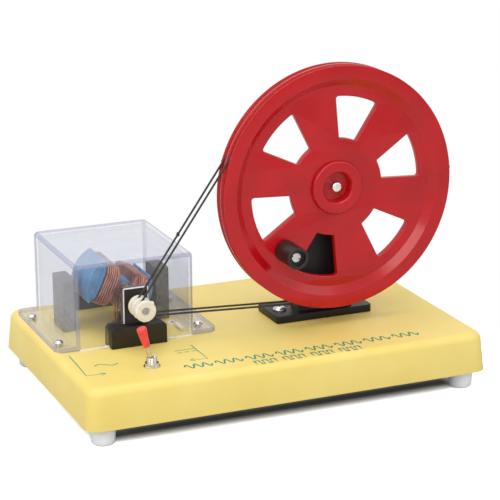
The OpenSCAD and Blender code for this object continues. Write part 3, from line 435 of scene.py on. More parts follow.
# Painted shadow: the floor that the camera sees darkens by its place inside the base's outline
paintedShadowShares = []
for axis, half in (("X", place["width"] / 2), ("Y", place["depth"] / 2)):
    inwards = addNode(paper, "ShaderNodeMath", {0: paperAt[axis]}, operation="ABSOLUTE")
    paintedShadowShares.append(addNode(paper, "ShaderNodeMapRange", {
        "Value": inwards, "From Min": (half - studio["shadeFrom"]) * mm,
        "From Max": (half - studio["shadeTo"]) * mm}))
deepShade = addNode(paper, "ShaderNodeMath", {0: paintedShadowShares[0], 1: paintedShadowShares[1]}, operation="MINIMUM")
floorToneWithPaintedShadow = addNode(paper, "ShaderNodeMapRange", {
    "Value": deepShade, "To Min": studio["paperSeen"],
    "To Max": studio["paperSeen"] * studio["paintedShadowShare"]})
bright = addNode(paper, "ShaderNodeBsdfDiffuse", {"Color": floorToneWithPaintedShadow})
backdrop = addNode(paper, "ShaderNodeEmission", {"Color": white, "Strength": 1.0})
backShare = addNode(paper, "ShaderNodeMapRange", {
    "Value": paperAt["Y"], "From Min": studio["backFrom"] * mm, "From Max": studio["backTo"] * mm})
paperView = addNode(paper, "ShaderNodeMixShader", {0: backShare, 1: bright, 2: backdrop})
glossed = addNode(paper, "ShaderNodeBsdfDiffuse", {"Color": [studio["paperGloss"]] * 3 + [1]})
underGloss = addNode(paper, "ShaderNodeMixShader",
                     {0: paperRays["Is Glossy Ray"], 1: matte, 2: glossed})
paperMix = addNode(paper, "ShaderNodeMixShader",
                   {0: seenByCamera(paper, paperRays), 1: underGloss, 2: paperView})
addNode(paper, "ShaderNodeOutputMaterial", {"Surface": paperMix})
floor.data.materials.append(floorPaper)
floor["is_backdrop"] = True
print("camera, lamps and floor ready")


# New material, its tree, its shader, and the place that its patterns follow
def startFinish(name):
    material = bpy.data.materials.new(name)
    material.use_nodes = True
    tree = material.node_tree
    at = addNode(tree, "ShaderNodeTexCoord").outputs["Object"]
    return material, tree, tree.nodes["Principled BSDF"], at


# Colour that drifts in clouds from the deep tone to the full one
def driftColour(tree, bsdf, at, scale, fullAt, deep, colour):
    cloud = addNode(tree, "ShaderNodeTexNoise", {"Vector": at, "Scale": scale, "Detail": 4.0})
    spread = addNode(tree, "ShaderNodeMapRange", {"Value": cloud, "From Min": 0.35, "From Max": fullAt})
    tint = addNode(tree, "ShaderNodeMix", {0: spread, 6: linear(deep), 7: linear(colour)},
                   data_type="RGBA")
    feed(tree, bsdf, {"Base Color": tint.outputs[2]})


# Relief from one pattern, and from another a gloss between two roughnesses
def reliefAndGloss(tree, bsdf, relief, strength, depthMm, gloss, low, high):
    bump = addNode(tree, "ShaderNodeBump",
                   {"Height": relief, "Strength": strength, "Distance": depthMm * mm})
    rough = addNode(tree, "ShaderNodeMapRange", {
        "Value": gloss, "From Min": 0.3, "From Max": 0.7, "To Min": low, "To Max": high})
    feed(tree, bsdf, {"Normal": bump, "Roughness": rough})


# Moulded plastic or rubber: a clouded colour, a fine grain from the mould, and a patchy gloss
def moulded(name, colour, deep, rough, grainMm, grain, cloudMm, patch, shader={}):
    material, tree, bsdf, at = startFinish(name)
    driftColour(tree, bsdf, at, 1000 / cloudMm, 0.65, deep, colour)
    pits = addNode(tree, "ShaderNodeTexNoise", {"Vector": at, "Scale": 1000 / grainMm, "Detail": 2.0})
    handled = addNode(tree, "ShaderNodeTexNoise",
                      {"Vector": at, "Scale": 1000 / (cloudMm * 0.6), "Detail": 5.0})
    reliefAndGloss(tree, bsdf, pits, grain, grainMm * 0.35, handled, rough - patch, rough + patch)
    feed(tree, bsdf, shader)
    return material


# Metal: a tint with slow tarnish, and machining lines drawn out along one axis
def machined(name, colour, dull, rough, lineMm, stretch, relief, metal=1.0):
    material, tree, bsdf, at = startFinish(name)
    feed(tree, bsdf, {"Metallic": metal})
    driftColour(tree, bsdf, at, 260.0, 0.7, dull, colour)    # clouds of about 4 mm
    drawn = addNode(tree, "ShaderNodeMapping", {"Vector": at, "Scale": stretch})
    lines = addNode(tree, "ShaderNodeTexNoise",
                    {"Vector": drawn, "Scale": 1000 / lineMm, "Detail": 3.0})
    reliefAndGloss(tree, bsdf, lines, relief, lineMm * 0.3, lines, max(rough - 0.06, 0.04), rough + 0.07)
    return material


# Subsurface light, for soft or waxy stuff
def glow(weight, radius):
    return {"Subsurface Weight": weight, "Subsurface Radius": radius, "Subsurface Scale": 1.0}


# Each: name, colour, deep tone, roughness, grain in mm, its strength, clouds in mm, patches in the gloss.
# Real grains are often finer: these are as coarse as it takes to show
# Matt ABS from a finely eroded mould: soft, even, no sharp highlight
yellowAbs = moulded("yellowMattAbs", "#F1DB80", "#ECD473", 0.5, 0.7, 0.25, 40, 0.05)
# Polished ABS, thick in the rim: sharp highlights, deep shade, slow waves in the gloss
redAbs = moulded("redGlossAbs", "#C00C15", "#B00810", 0.2, 2.2, 0.07, 26, 0.06,
                 {"Specular IOR Level": 0.42})
# Satin phenolic: nearly black with a grey sheen on its edges
blackPhenolic = moulded("blackSatinPhenolic", "#25211E", "#1B1817", 0.36, 0.5, 0.2, 9, 0.07,
                        {"Specular IOR Level": 0.36})
# Moulded ABS of the stand: black, with a duller sheen
standAbs = moulded("blackStandAbs", "#1B191A", "#141213", 0.42, 0.6, 0.2, 9, 0.07,
                   {"Specular IOR Level": 0.3})
# Pressed fibre sheet: dull and slightly rough
blackSheet = moulded("blackFibreSheet", "#242221", "#1B1A19", 0.62, 0.8, 0.4, 14, 0.05)
# Nylon, off-white and a little waxy
whiteNylon = moulded("offWhiteNylon", "#ECE9DC", "#DFDAC9", 0.42, 0.6, 0.15, 5, 0.06,
                     glow(0.15, (0.002, 0.0015, 0.001)))
# Soft vinyl feet, milky and half clear
milkyVinyl = moulded("milkyVinyl", "#EEF3F8", "#E3E9F0", 0.33, 0.9, 0.12, 7, 0.05,
                     glow(0.5, (0.004, 0.004, 0.005)))
# Extruded rubber cord, dusty black
beltRubber = moulded("beltRubber", "#2A2624", "#1C1A18", 0.55, 0.35, 0.5, 3, 0.08)
# Dipped soft vinyl: bright, with a warm glow at its thin edge
redVinyl = moulded("redVinylSleeve", "#F24A42", "#E23A36", 0.38, 0.5, 0.12, 3, 0.06,
                   glow(0.1, (0.002, 0.0006, 0.0005)))
# Extruded vinyl tube, clean white with a soft shine
whiteVinyl = moulded("whiteVinylSleeve", "#FAFAF8", "#F0F0EC", 0.35, 0.5, 0.1, 3, 0.05)
# Vinyl coats of the stranded leads, smooth and slightly dull
leadCream = moulded("creamWireCoat", "#D6CFBF", "#C5BCA8", 0.5, 0.3, 0.2, 3, 0.05)
leadRed = moulded("redWireCoat", "#A52222", "#8E1818", 0.48, 0.3, 0.2, 3, 0.05)
# Pressed phenolic of the switch, dull blue
switchPhenolic = moulded("blueSwitchCase", "#24507A", "#1D4266", 0.45, 0.4, 0.2, 4, 0.05)
# Moulded ABS of the sockets, with a fair shine
socketRed = moulded("redSocketAbs", "#C01818", "#AE1212", 0.3, 0.5, 0.1, 4, 0.05)
socketBlack = moulded("blackSocketAbs", "#262423", "#1C1B1A", 0.32, 0.5, 0.1, 4, 0.05)
# Sintered ferrite, ground: grey, grainy, without shine
ferrite = moulded("sinteredFerrite", "#6C6A6A", "#555454", 0.7, 0.35, 0.7, 2.5, 0.08)
# Wound paper under varnish: tan, with a faint shine
sleevePaper = moulded("varnishedPaperTube", "#D3C7AE", "#BFAF90", 0.5, 0.4, 0.3, 3, 0.06)
# Blue insulating powder baked on iron, slightly lumpy
bluePowder = moulded("bluePowderCoat", "#5E97C4", "#447BAA", 0.45, 0.8, 0.9, 5, 0.08)
# Dyed pressboard, matt with fine fibres
blueFibre = moulded("bluePressboard", "#4680B4", "#386B9C", 0.6, 0.35, 0.4, 3, 0.05)
# Screen ink: flat and matt
greenInk = moulded("greenScreenInk", "#3A9478", "#2E866A", 0.6, 0.2, 0.2, 3, 0.05)
# Solvent cement that has set: whitish clear, lumpy, shiny
clearGlue = moulded("setGlue", "#F5F5F8", "#E8E8EE", 0.25, 0.5, 0.3, 2, 0.05,
                    {"Transmission Weight": 0.12, "IOR": 1.45})
# Edge of the box's opening, drawn white: a painted highlight of light caught on that cut edge
cutEdgeGlint = moulded("cutEdgePaintedHighlight", "#F2F2F4", "#E2E2E8", 0.5, 0.3, 0.5, 2, 0.05)

# Each: name, colour, tarnished tone, roughness, lines in mm, their stretch on each axis, relief.
# Real machining lines are finer; these are as coarse as it takes to show
brightNickel = machined("brightNickel", "#D9D6D0", "#C2BFB9", 0.16, 0.25, (1, 1, 1), 0.06)    # a mirror
zincSteel = machined("zincPlatedSteel", "#C9C9C6", "#AFAFAB", 0.3, 0.3, (1, 1, 1), 0.15)    # pale, cloudy
groundSteel = machined("groundSteelShaft", "#B8B5B0", "#98948E", 0.26, 0.2, (1, 0.08, 1), 0.15)    # lines
polishedSteel = machined("polishedSteel", "#F7F6F4", "#E6E4E1", 0.2, 0.25, (1, 0.1, 1), 0.06)    # whitish
oiledBronze = machined("oiledBronze", "#A9814C", "#7E5C33", 0.4, 0.25, (1, 1, 1), 0.3)    # sintered, brown
springBrass = machined("springBrass", "#C0914A", "#9A6F34", 0.3, 0.2, (1, 1, 0.1), 0.12)    # rolled strip
ringBrass = machined("turnedBrass", "#CBA554", "#A5803A", 0.24, 0.15, (0.2, 6, 0.2), 0.2)    # tool rings
segmentCopper = machined("turnedCopper", "#C07850", "#97573A", 0.3, 0.15, (0.2, 6, 0.2), 0.2)    # pinkish
# Enamelled winding wire: the lacquer makes it warmer and less metallic
copperWire = machined("enamelledCopper", "#DB957A", "#A4604B", 0.34, 0.3, (1, 1, 1), 0.1, 0.6)
# The same wire further down in a winding, in the shade of the strands over it
windingDepth = machined("shadedCopper", "#451D18", "#2E1310", 0.5, 0.5, (1, 1, 1), 0.5, 0.3)

# Clear polystyrene: thin polished walls with a milky cast, more of it on the top and the side walls,
# and a lavender line where one looks along a wall
box = {
    "x": -73.2, "y": 28.0, "halfX": 37.0, "halfY": 41.9, "top": 87.1, "wall": 2.3,
    "flangeX": -71.95, "flangeHalf": 50.75, "flangeEdge": 1.1,
    "wallTint": "#F9FAFC", "edgeTint": "#D0D0E2", "milk": "#C0C1D2", "lightTint": "#FEFEFF",
    "wallMilk": 0.035, "sideMilk": 0.14, "topMilk": 0.27, "edgeMilk": 0.26,
    "haze": 70.0, "ripple": 45.0,    # per metre: patches of about 14 mm and ripples of about 22 mm
}
clearStyrene, styrene, milkBsdf, styreneAt = startFinish("clearPolystyrene")
axes = addNode(styrene, "ShaderNodeSeparateXYZ", {0: styreneAt}).outputs


# 1 within depth of the two planes that lie half away from the middle on an axis
def nearWall(axis, middle, half, depth):
    shifted = addNode(styrene, "ShaderNodeMath", {0: axes[axis], 1: middle * mm}, operation="SUBTRACT")
    distance = addNode(styrene, "ShaderNodeMath", {0: shifted}, operation="ABSOLUTE")
    return addNode(styrene, "ShaderNodeMapRange", {
        "Value": distance,
        "From Min": (half - depth - 0.2) * mm, "From Max": (half - depth + 0.2) * mm})


nearSides = nearWall("X", box["x"], box["halfX"], box["wall"])
nearTop = nearWall("Z", 0, box["top"], box["wall"])
thick = nearSides
for bound in (nearTop, nearWall("Y", box["y"], box["halfY"], box["wall"]),
              nearWall("X", box["flangeX"], box["flangeHalf"], box["flangeEdge"])):
    thick = addNode(styrene, "ShaderNodeMath", {0: thick, 1: bound}, operation="ADD")
# Near two walls at once lies an edge of the box, which shows paler and more solid
edge = addNode(styrene, "ShaderNodeMapRange", {"Value": thick, "From Min": 1.3, "From Max": 1.9})
haze = addNode(styrene, "ShaderNodeTexNoise", {"Vector": styreneAt, "Scale": box["haze"], "Detail": 5.0})
patchy = addNode(styrene, "ShaderNodeMapRange", {
    "Value": haze, "From Min": 0.35, "From Max": 0.7, "To Min": 0.75, "To Max": 1.35})
sideCast = addNode(styrene, "ShaderNodeMapRange", {
    "Value": nearSides, "To Min": box["wallMilk"], "To Max": box["sideMilk"]})
topCast = addNode(styrene, "ShaderNodeMapRange", {"Value": nearTop, "To Max": box["topMilk"]})
cast = addNode(styrene, "ShaderNodeMath", {0: sideCast, 1: topCast}, operation="MAXIMUM")
hazy = addNode(styrene, "ShaderNodeMath", {0: cast, 1: patchy}, operation="MULTIPLY")
milky = addNode(styrene, "ShaderNodeMix", {0: edge, 2: hazy, 3: box["edgeMilk"]}, data_type="FLOAT")
tinted = addNode(styrene, "ShaderNodeMix",
                 {0: edge, 6: linear(box["wallTint"]), 7: linear(box["edgeTint"])}, data_type="RGBA")
through = addNode(styrene, "ShaderNodeBsdfTransparent", {"Color": tinted.outputs[2]})
polish = addNode(styrene, "ShaderNodeMapRange", {
    "Value": haze, "From Min": 0.3, "From Max": 0.7, "To Min": 0.08, "To Max": 0.16})
ripple = addNode(styrene, "ShaderNodeTexNoise",
                 {"Vector": styreneAt, "Scale": box["ripple"], "Detail": 1.0})
rippleBump = addNode(styrene, "ShaderNodeBump", {"Height": ripple, "Strength": 0.05, "Distance": 0.002})
feed(styrene, milkBsdf, {"Base Color": linear(box["milk"]), "Roughness": polish, "Normal": rippleBump})
wallMix = addNode(styrene, "ShaderNodeMixShader", {0: milky, 1: through, 2: milkBsdf})
shine = addNode(styrene, "ShaderNodeBsdfGlossy",
                {"Color": white, "Roughness": 0.06, "Normal": rippleBump})
# The shine grows where the wall is seen at a flat angle
glance = addNode(styrene, "ShaderNodeLayerWeight", {"Blend": 0.5})
steep = addNode(styrene, "ShaderNodeMath", {0: glance.outputs["Facing"], 1: 5.0}, operation="POWER")
gleam = addNode(styrene, "ShaderNodeMath", {0: steep, 1: 0.7, 2: 0.02}, operation="MULTIPLY_ADD")
seenWall = addNode(styrene, "ShaderNodeMixShader", {0: gleam, 1: wallMix, 2: shine})
# Light goes through almost as if the box weren't there
paleShadow = addNode(styrene, "ShaderNodeBsdfTransparent", {"Color": linear(box["lightTint"])})
styreneRays = addNode(styrene, "ShaderNodeLightPath").outputs
lightRay = addNode(styrene, "ShaderNodeMath",
                   {0: styreneRays["Is Shadow Ray"], 1: styreneRays["Is Diffuse Ray"]}, operation="MAXIMUM")
styreneMix = addNode(styrene, "ShaderNodeMixShader", {0: lightRay, 1: seenWall, 2: paleShadow})
feed(styrene, styrene.nodes["Material Output"], {"Surface": styreneMix})
print("finishes ready")


# The base is a moulded shell, open below
base = {"low": 11.4, "lean": 2.2, "corner": 8, "edge": 4.8, "wall": 2.5, "footEdge": 0.5,
        "hollow": (0.975, 0.965, 1)}    # how much the hollow narrows towards the deck
shellHigh = deck - base["low"]


# On the outer edge of the shell's foot
def onFootEdge(p):
    pastX, pastY = (max(abs(c) - size / 2 + base["corner"], 0)
                    for c, size in ((p.x, place["width"]), (p.y, place["depth"])))
    return abs(p.z - base["low"]) < 0.1 and hypot(pastX, pastY) > base["corner"] - 0.5


baseShell = block((0, 0, (base["low"] + deck) / 2), (place["width"], place["depth"], shellHigh))
pick(baseShell, "EDGE", lambda a, b: abs(a.z - b.z) > 5)
bpy.ops.mesh.bevel(offset=base["corner"] * mm, segments=10, profile=0.5)
pick(baseShell, "VERT", lambda p: p.z > deck - 1)
bpy.ops.transform.resize(value=(1 - 2 * base["lean"] / place["width"],
                                1 - 2 * base["lean"] / place["depth"], 1))
pick(baseShell, "FACE", lambda c, n: n.z > 0.9)
bpy.ops.mesh.bevel(offset=base["edge"] * mm, segments=8, profile=0.5)
pick(baseShell, "FACE", lambda c, n: n.z < -0.9)
bpy.ops.mesh.inset(thickness=base["wall"] * mm)
bpy.ops.mesh.extrude_region_move(
    TRANSFORM_OT_translate={"value": (0, 0, (shellHigh - base["wall"]) * mm)})
bpy.ops.transform.resize(value=base["hollow"])
pick(baseShell, "EDGE", lambda a, b: onFootEdge(a) and onFootEdge(b))
bpy.ops.mesh.bevel(offset=base["footEdge"] * mm, segments=2)
leaveEdit()
finishPiece(baseShell, "base", yellowAbs, "base_shell", "mouldedBase")

foot = {"topR": 7.6, "toeR": 6.8, "high": 11.4, "holeR": 3.2, "holeUp": 5, "screwR": 1.5,
        "x": 114.4, "y": 70.5}
firstFoot = turnedUp(softened([
    (foot["screwR"], foot["high"], 0), (foot["topR"], foot["high"], 0.4), (foot["toeR"], 0.0, 1.7),
    (foot["holeR"] + 0.1, 0.0, 0.5), (foot["holeR"], foot["holeUp"], 0.2),
    (foot["screwR"], foot["holeUp"], 0)]))
for nodeName, alongX, alongY in (("foot_front_left", -1, -1), ("foot_front_right", 1, -1),
                                 ("foot_rear_left", -1, 1), ("foot_rear_right", 1, 1)):
    oneFoot = moveTo(copyPiece(firstFoot), foot["x"] * alongX, foot["y"] * alongY)
    finishPiece(oneFoot, "base", milkyVinyl, nodeName)
bpy.data.objects.remove(firstFoot)
print("base and feet ready")


# Pan head standing on z = 0 with a cross recess
def panHead(radius, high):
    head = turnedUp(softened([(0, 0, 0), (radius, 0, 0), (radius, high * 0.35, high * 0.5),
                              (radius * 0.55, high, radius * 0.8), (0, high, 0)], 6), steps=40)
    slot = block((0, 0, high), (radius * 1.15, radius * 0.24, high * 0.95))
    pick(slot, "VERT", lambda p: p.z < high)
    bpy.ops.transform.resize(value=(0.45, 0.7, 1), center_override=(0, 0, high * mm))
    leaveEdit()
    cutWith(slot, moveTo(copyPiece(slot), turn=(0, 0, pi / 2)), "UNION")
    cutWith(head, slot)
    bevelSharp(head, radius * 0.03, 2)
    return head


# Several of those screws with their shanks, as one piece
def screwSet(nodeName, screws):
    firstHead = panHead(screws["headR"], screws["headHigh"])
    r, deep, z = screws["shankR"], screws["shank"], screws["z"]
    parts = []
    for x, y, turn in screws["at"]:
        parts.append(moveTo(copyPiece(firstHead), x, y, z, (0, 0, radians(turn))))
        parts.append(turnedUp([(0, -deep), (r * 0.7, -deep), (r, 1 - deep), (r, 0.2), (0, 0.2)],
                              x, y, z, screws["steps"]))
    bpy.data.objects.remove(firstHead)
    finishPiece(joinAll(parts), "base", brightNickel, nodeName)


# Each of them at x, y and a turn in degrees
screwSet("cover_screws", {
    "headR": 3, "headHigh": 1.9, "shankR": 1.45, "shank": 10.4, "z": deck + 2.4, "steps": 20,
    "at": [(-117.8, -1.5, 15), (-117.8, 51.9, 50), (-29.3, -1.5, 70), (-29.3, 51.9, 30)]})
screwSet("stand_screws", {
    "headR": 4.2, "headHigh": 2.4, "shankR": 2, "shank": 12.6, "z": deck + 4.6, "steps": 24,
    "at": [(24.0, -3.3, 70), (75.5, -3.3, 20)]})
print("screws ready")


wheel = {
    "r": 74.5, "front": -30.5, "rear": -18.7, "webFront": -26.7, "webRear": -22.3, "webEdge": 0.7,
    "faceIn": 66.6, "webR": 61.9, "grooveR": 69.95, "grooveHalf": 0.9934, "grooveSide": 0.3057,
    "boreR": 3.25, "bossR": 16.4, "bossFront": -29.0, "sinkR": 9.2, "sinkBack": -21.5,
    "rearHubR": 11, "hubRear": -12.7,
    "windows": 6, "windowIn": 29.9, "windowOut": 55.3, "halfIn": 11.3, "halfOut": 14.9,
    "firstWindow": 16, "windowR": 1.8,
    # Bits of flash on the rim: turn in degrees, distance out, place on Y, size
    "spurs": [(4.5, 74.1, -30.0, 0.8), (8, 74.2, -29.8, 0.6), (163, 74.1, -19.2, 0.7),
              (301, 66.9, -30.4, 0.5)],
}


# Corners of one belt groove at y, seen from the front lip to the rear one
def grooveCorners(y, top, bottom):
    side = wheel["grooveSide"]
    wide = wheel["grooveHalf"] + (top - (bottom + 0.95)) * side
    narrow = wheel["grooveHalf"] - 0.95 * side
    return [(top, y - wide, 0.35), (bottom, y - narrow, 0.35),
            (bottom, y + narrow, 0.35), (top, y + wide, 0.35)]


grooveYs = [place["beltY"] - place["beltPitch"] / 2, place["beltY"] + place["beltPitch"] / 2]
rimCorners = [
    (wheel["webR"] - 1.6, wheel["webFront"] + 0.08, 0),
    (wheel["webR"] - 0.1, wheel["webFront"] - 0.03, 0.9), (wheel["faceIn"] - 0.25, wheel["front"], 0.7),
    (wheel["r"], wheel["front"], 0.7)]
for y in grooveYs:
    rimCorners += grooveCorners(y, wheel["r"], wheel["grooveR"])
rimCorners += [
    (wheel["r"], wheel["rear"], 0.5), (wheel["faceIn"], wheel["rear"], 0.9),
    (wheel["webR"] - 0.3, wheel["webRear"] + 0.1, 2.0), (wheel["webR"] - 1.6, wheel["webRear"] - 0.08, 0)]
rim = turned(softened(rimCorners), *place["axle"], 160)
hub = turned(softened([
    (wheel["boreR"], wheel["sinkBack"], 0), (wheel["sinkR"] - 0.6, wheel["sinkBack"], 0.5),
    (wheel["sinkR"], wheel["bossFront"] + 1.0, 0.3), (wheel["sinkR"] + 0.9, wheel["bossFront"], 0.5),
    (wheel["bossR"] - 0.2, wheel["bossFront"], 1.5), (wheel["bossR"] + 0.3, wheel["webFront"] + 0.3, 0),
    (wheel["bossR"] + 0.5, wheel["webRear"] - 0.3, 0), (wheel["rearHubR"] + 0.8, wheel["webRear"] - 0.3, 0),
    (wheel["rearHubR"], wheel["hubRear"], 0.6), (wheel["boreR"], wheel["hubRear"], 0)]), *place["axle"], 96)
# The web reaches a little into the rim and the hub, and has the windows as holes
webOutlines = [circleOutline(wheel["webR"] + 1.3, 160), circleOutline(wheel["bossR"] - 1.2, 96)]
for w in range(wheel["windows"]):
    corners = []
    for radius, half, sense in ((wheel["windowOut"], wheel["halfOut"], 1),
                                (wheel["windowIn"], wheel["halfIn"], -1)):
        for k in range(9):
            angle = radians(sense * half * (k / 4 - 1))
            rounding = wheel["windowR"] if k in (0, 8) else 0
            corners.append((*swung(radius, 0, angle), rounding))
    turn = radians(wheel["firstWindow"] + 360 / wheel["windows"] * w)
    webOutlines.append([swung(u, v, turn) for u, v in softened(corners, 6)])
web = standingPlate(webOutlines, wheel["webFront"], wheel["webRear"] - wheel["webFront"], wheel["webEdge"])
moveTo(web, place["axle"][0], 0, place["axle"][1])
wheelParts = [rim, hub, web]
for turn, out, y, size in wheel["spurs"]:
    x, z = swung(out, 0, radians(turn), place["axle"])
    wheelParts.append(lump((x, y, z), size, (1, 0.8, 1.5)))
finishPiece(joinAll(wheelParts), "wheel", redAbs, "drive_wheel")

axlePin = turnedRod({"r": 3.25, "front": -27.6, "rear": 7.1, "bevel": 1.4}, place["axle"], 48)
finishPiece(axlePin, "wheel", polishedSteel, "wheel_axle")

handle = {"at": 49.1, "turn": 226, "r": 6.7, "front": -46.9, "rear": -27.2,
          "boreR": 2.05, "recessR": 4.7, "recess": 3.5}
handleX, handleZ = swung(handle["at"], 0, radians(handle["turn"]), place["axle"])
recessY = handle["front"] + handle["recess"]
grip = turned(softened([
    (handle["boreR"], recessY, 0), (handle["recessR"], recessY, 0.4),
    (handle["recessR"], handle["front"], 0.4), (handle["r"], handle["front"], 1.1),
    (handle["r"], handle["rear"], 0.6), (handle["boreR"], handle["rear"], 0)]), handleX, handleZ, 64)
finishPiece(grip, "handle", blackPhenolic, "crank_handle")

handleScrew = {"headR": 3, "headFront": -43.7, "headBack": -41.7, "pinR": 2, "pinEnd": -22.3,
               "slot": (6.4, 1.6, 0.8), "slotTurn": 25}
screwBody = turned(softened([
    (0, handleScrew["headFront"], 0), (handleScrew["headR"], handleScrew["headFront"], 0.35),
    (handleScrew["headR"], handleScrew["headBack"], 0.2), (handleScrew["pinR"], handleScrew["headBack"], 0),
    (handleScrew["pinR"], handleScrew["pinEnd"], 0.3), (0, handleScrew["pinEnd"], 0)]), steps=40)
cutWith(screwBody, block((0, handleScrew["headFront"], 0), handleScrew["slot"]))
moveTo(screwBody, handleX, 0, handleZ, (0, radians(handleScrew["slotTurn"]), 0))
finishPiece(screwBody, "wheel", brightNickel, "handle_screw")
print("wheel and handle ready")


pulley = {
    "r": 6.4, "front": -32.1, "rear": -16.0, "boreR": 2.05, "mouthR": 2.6, "bottomR": 2.95, "neckR": 4.9,
    "mouth": 1.4,
    # Flash left round its front face: turn in degrees, distance out, size
    "flash": [(48, 5.9, 1.5), (205, 5.8, 1.3), (262, 5.9, 1.1), (318, 5.6, 1.0)],
}
mouthY = pulley["front"] + pulley["mouth"]
pulleyCorners = [(pulley["boreR"], mouthY, 0), (pulley["mouthR"], mouthY, 0),
                 (pulley["mouthR"], pulley["front"], 0.2), (pulley["r"], pulley["front"], 1.0)]
for y in grooveYs:
    pulleyCorners += grooveCorners(y, pulley["r"], pulley["bottomR"])
pulleyCorners += [(pulley["r"], pulley["rear"] - 2.4, 0.6), (pulley["neckR"], pulley["rear"] - 1.9, 0.3),
                  (pulley["neckR"], pulley["rear"], 0.5), (pulley["boreR"], pulley["rear"], 0)]
pulleyParts = [turned(softened(pulleyCorners), *place["shaft"], 72)]
for turn, out, size in pulley["flash"]:
    x, z = swung(out, 0, radians(turn), place["shaft"])
    pulleyParts.append(lump((x, pulley["front"] + 1.8, z), size, (1, 1.1, 0.8), 3))
finishPiece(joinAll(pulleyParts), "armature", whiteNylon, "pulley", "twoGroovePulley")

shaftRod = turnedRod({"r": 2, "front": -31.1, "rear": 66.6, "bevel": 0.3}, place["shaft"], 40)
finishPiece(shaftRod, "armature", groundSteel, "armature_shaft")

# An endless belt: an arc round the wheel, an arc round the pulley, and the two runs between them
belt = {"wheelR": 70.9, "pulleyR": 3.9, "r": 0.65, "wheelSteps": 120, "pulleySteps": 24,
        "knotAt": 0.395, "knotR": 0.95}    # the knot's place on the upper run, from the pulley
beltDx, beltDz = (a - b for a, b in zip(place["axle"], place["shaft"]))
beltTilt = atan2(beltDz, beltDx)
beltWrap = pi / 2 + asin((belt["wheelR"] - belt["pulleyR"]) / hypot(beltDx, beltDz))


def beltPath(y):
    path = []
    for middle, r, start, sweep, steps in (
            (place["axle"], belt["wheelR"], -beltWrap, 2 * beltWrap, belt["wheelSteps"]),
            (place["shaft"], belt["pulleyR"], beltWrap, 2 * pi - 2 * beltWrap, belt["pulleySteps"])):
        for k in range(steps + 1):
            x, z = swung(r, 0, beltTilt + start + sweep * k / steps, middle)
            path.append((x, y, z))
    return path


for nodeName, y in zip(("front_belt", "rear_belt"), grooveYs):
    path = beltPath(y)
    beltPiece = cordThrough(path, belt["r"], True)
    if nodeName == "rear_belt":
        upperStart, upperEnd = path[belt["wheelSteps"]], path[belt["wheelSteps"] + 1]
        knotAt = [b + (a - b) * belt["knotAt"] for a, b in zip(upperStart, upperEnd)]
        beltPiece = joinAll([beltPiece, lump(knotAt, belt["knotR"], (1.1, 1, 1.5), segments=16, rings=10)])
    finishPiece(beltPiece, "base", beltRubber, nodeName)
print("pulley and belts ready")


coverPiece = nodeCopy("clear_cover", 0.4, 2, 50)
for vertex in coverPiece.data.vertices:
    if vertex.co.z < (deck + 0.05) * mm:
        vertex.co.z = (deck + 0.06) * mm    # just off the deck, so that the deck shows through
finishPiece(coverPiece, "base", clearStyrene, "clear_cover", sharp=25)

# The cheeks of the insulation shrink towards the pole, to stay under the wire, which bulges over them
cheeks = {"stem": 8, "nearStem": 0.5, "beyond": 0.92}
for nodeName, softEdge, body, slotName, material in (
        ("rear_bearing_block", 0.5, "base", "black_plastic", blackPhenolic),
        ("left_magnet", 0.5, "base", "magnet", ferrite),
        ("right_magnet", 0.5, "base", "magnet", ferrite),
        ("wheel_stand", 0.6, "base", "black_plastic", standAbs),
        ("brush_block", 0.3, "base", "black_plastic", blackPhenolic),
        ("armature_core", 0.35, "armature", "blue_core", bluePowder),
        ("pole_insulation", 0.12, "armature", "blue_sheet", blueFibre)):
    dressed = nodeCopy(nodeName, softEdge, 3)
    if nodeName == "pole_insulation":
        along = Vector((cos(radians(place["poleTurn"])), 0, sin(radians(place["poleTurn"]))))
        middle = Vector((shaftX, place["coreMid"], shaftZ)) * mm
        for vertex in dressed.data.vertices:
            off = vertex.co - middle
            onPole = along * off.dot(along)
            share = cheeks["nearStem"] if onPole.length < cheeks["stem"] * mm else cheeks["beyond"]
            vertex.co = middle + onPole + (off - onPole) * share
    finishPiece(dressed, body, material, nodeName)
print("cover, blocks and core ready")

# The front block's upright has square corners, and round it the sawn opening of the box gets a white cord,
# a painted highlight of light on its cut edge
post = {"half": 7.1, "high": 34, "front": -14.2, "deep": 6.9, "corner": 3.2, "edge": 0.35,
        "sawnR": 0.4, "sawnGap": 0.45, "sawnFrom": 13.2}
postTop = deck + post["high"]
frontBlock = nodeCopy("front_bearing_block")
cutWith(frontBlock, block(
    (shaftX, post["front"] + post["deep"] / 2, postTop - post["corner"] / 2),
    (2 * post["half"], post["deep"], post["corner"])), "UNION")
mergeFlat(frontBlock)
bevelSharp(frontBlock, post["edge"], 3)
finishPiece(frontBlock, "base", blackPhenolic, "front_bearing_block")
sawnHalf = post["half"] + post["sawnGap"]
sawnTop = postTop + post["sawnGap"]
sawnSide = [(sawnHalf, deck + post["sawnFrom"]), (sawnHalf, sawnTop - 1), (sawnHalf, sawnTop),
            (sawnHalf - 1, sawnTop)]
# The white cord along the opening's edge is a painted highlight
sawnLine = [(shaftX + x, post["front"] + 0.2, z)
            for x, z in [(-x, z) for x, z in sawnSide] + sawnSide[::-1]]
sawn = cordThrough(sawnLine, post["sawnR"], False, 1)
finishPiece(sawn, "base", cutEdgeGlint, name="openingEdgeHighlight")


# Real wire would be too thin to show, so each winding has fewer and thicker strands
winding = {
    "stemHalf": 3.6, "thick": 8.2, "coreHalf": 15.25, "over": 5, "corner": 7.5, "inner": 5.7, "outer": 14.2,
    "wireR": 0.45, "faceTurns": 5, "facePitch": 2.7, "turns": 6, "air": 0.02, "swell": 0.3,
    "lay": 0.34, "layWaves": 3, "layDrift": 0.013,    # how far the strands wander to lie unevenly
    "steps": 48, "cornerSteps": 8, "sideSteps": 4,
}


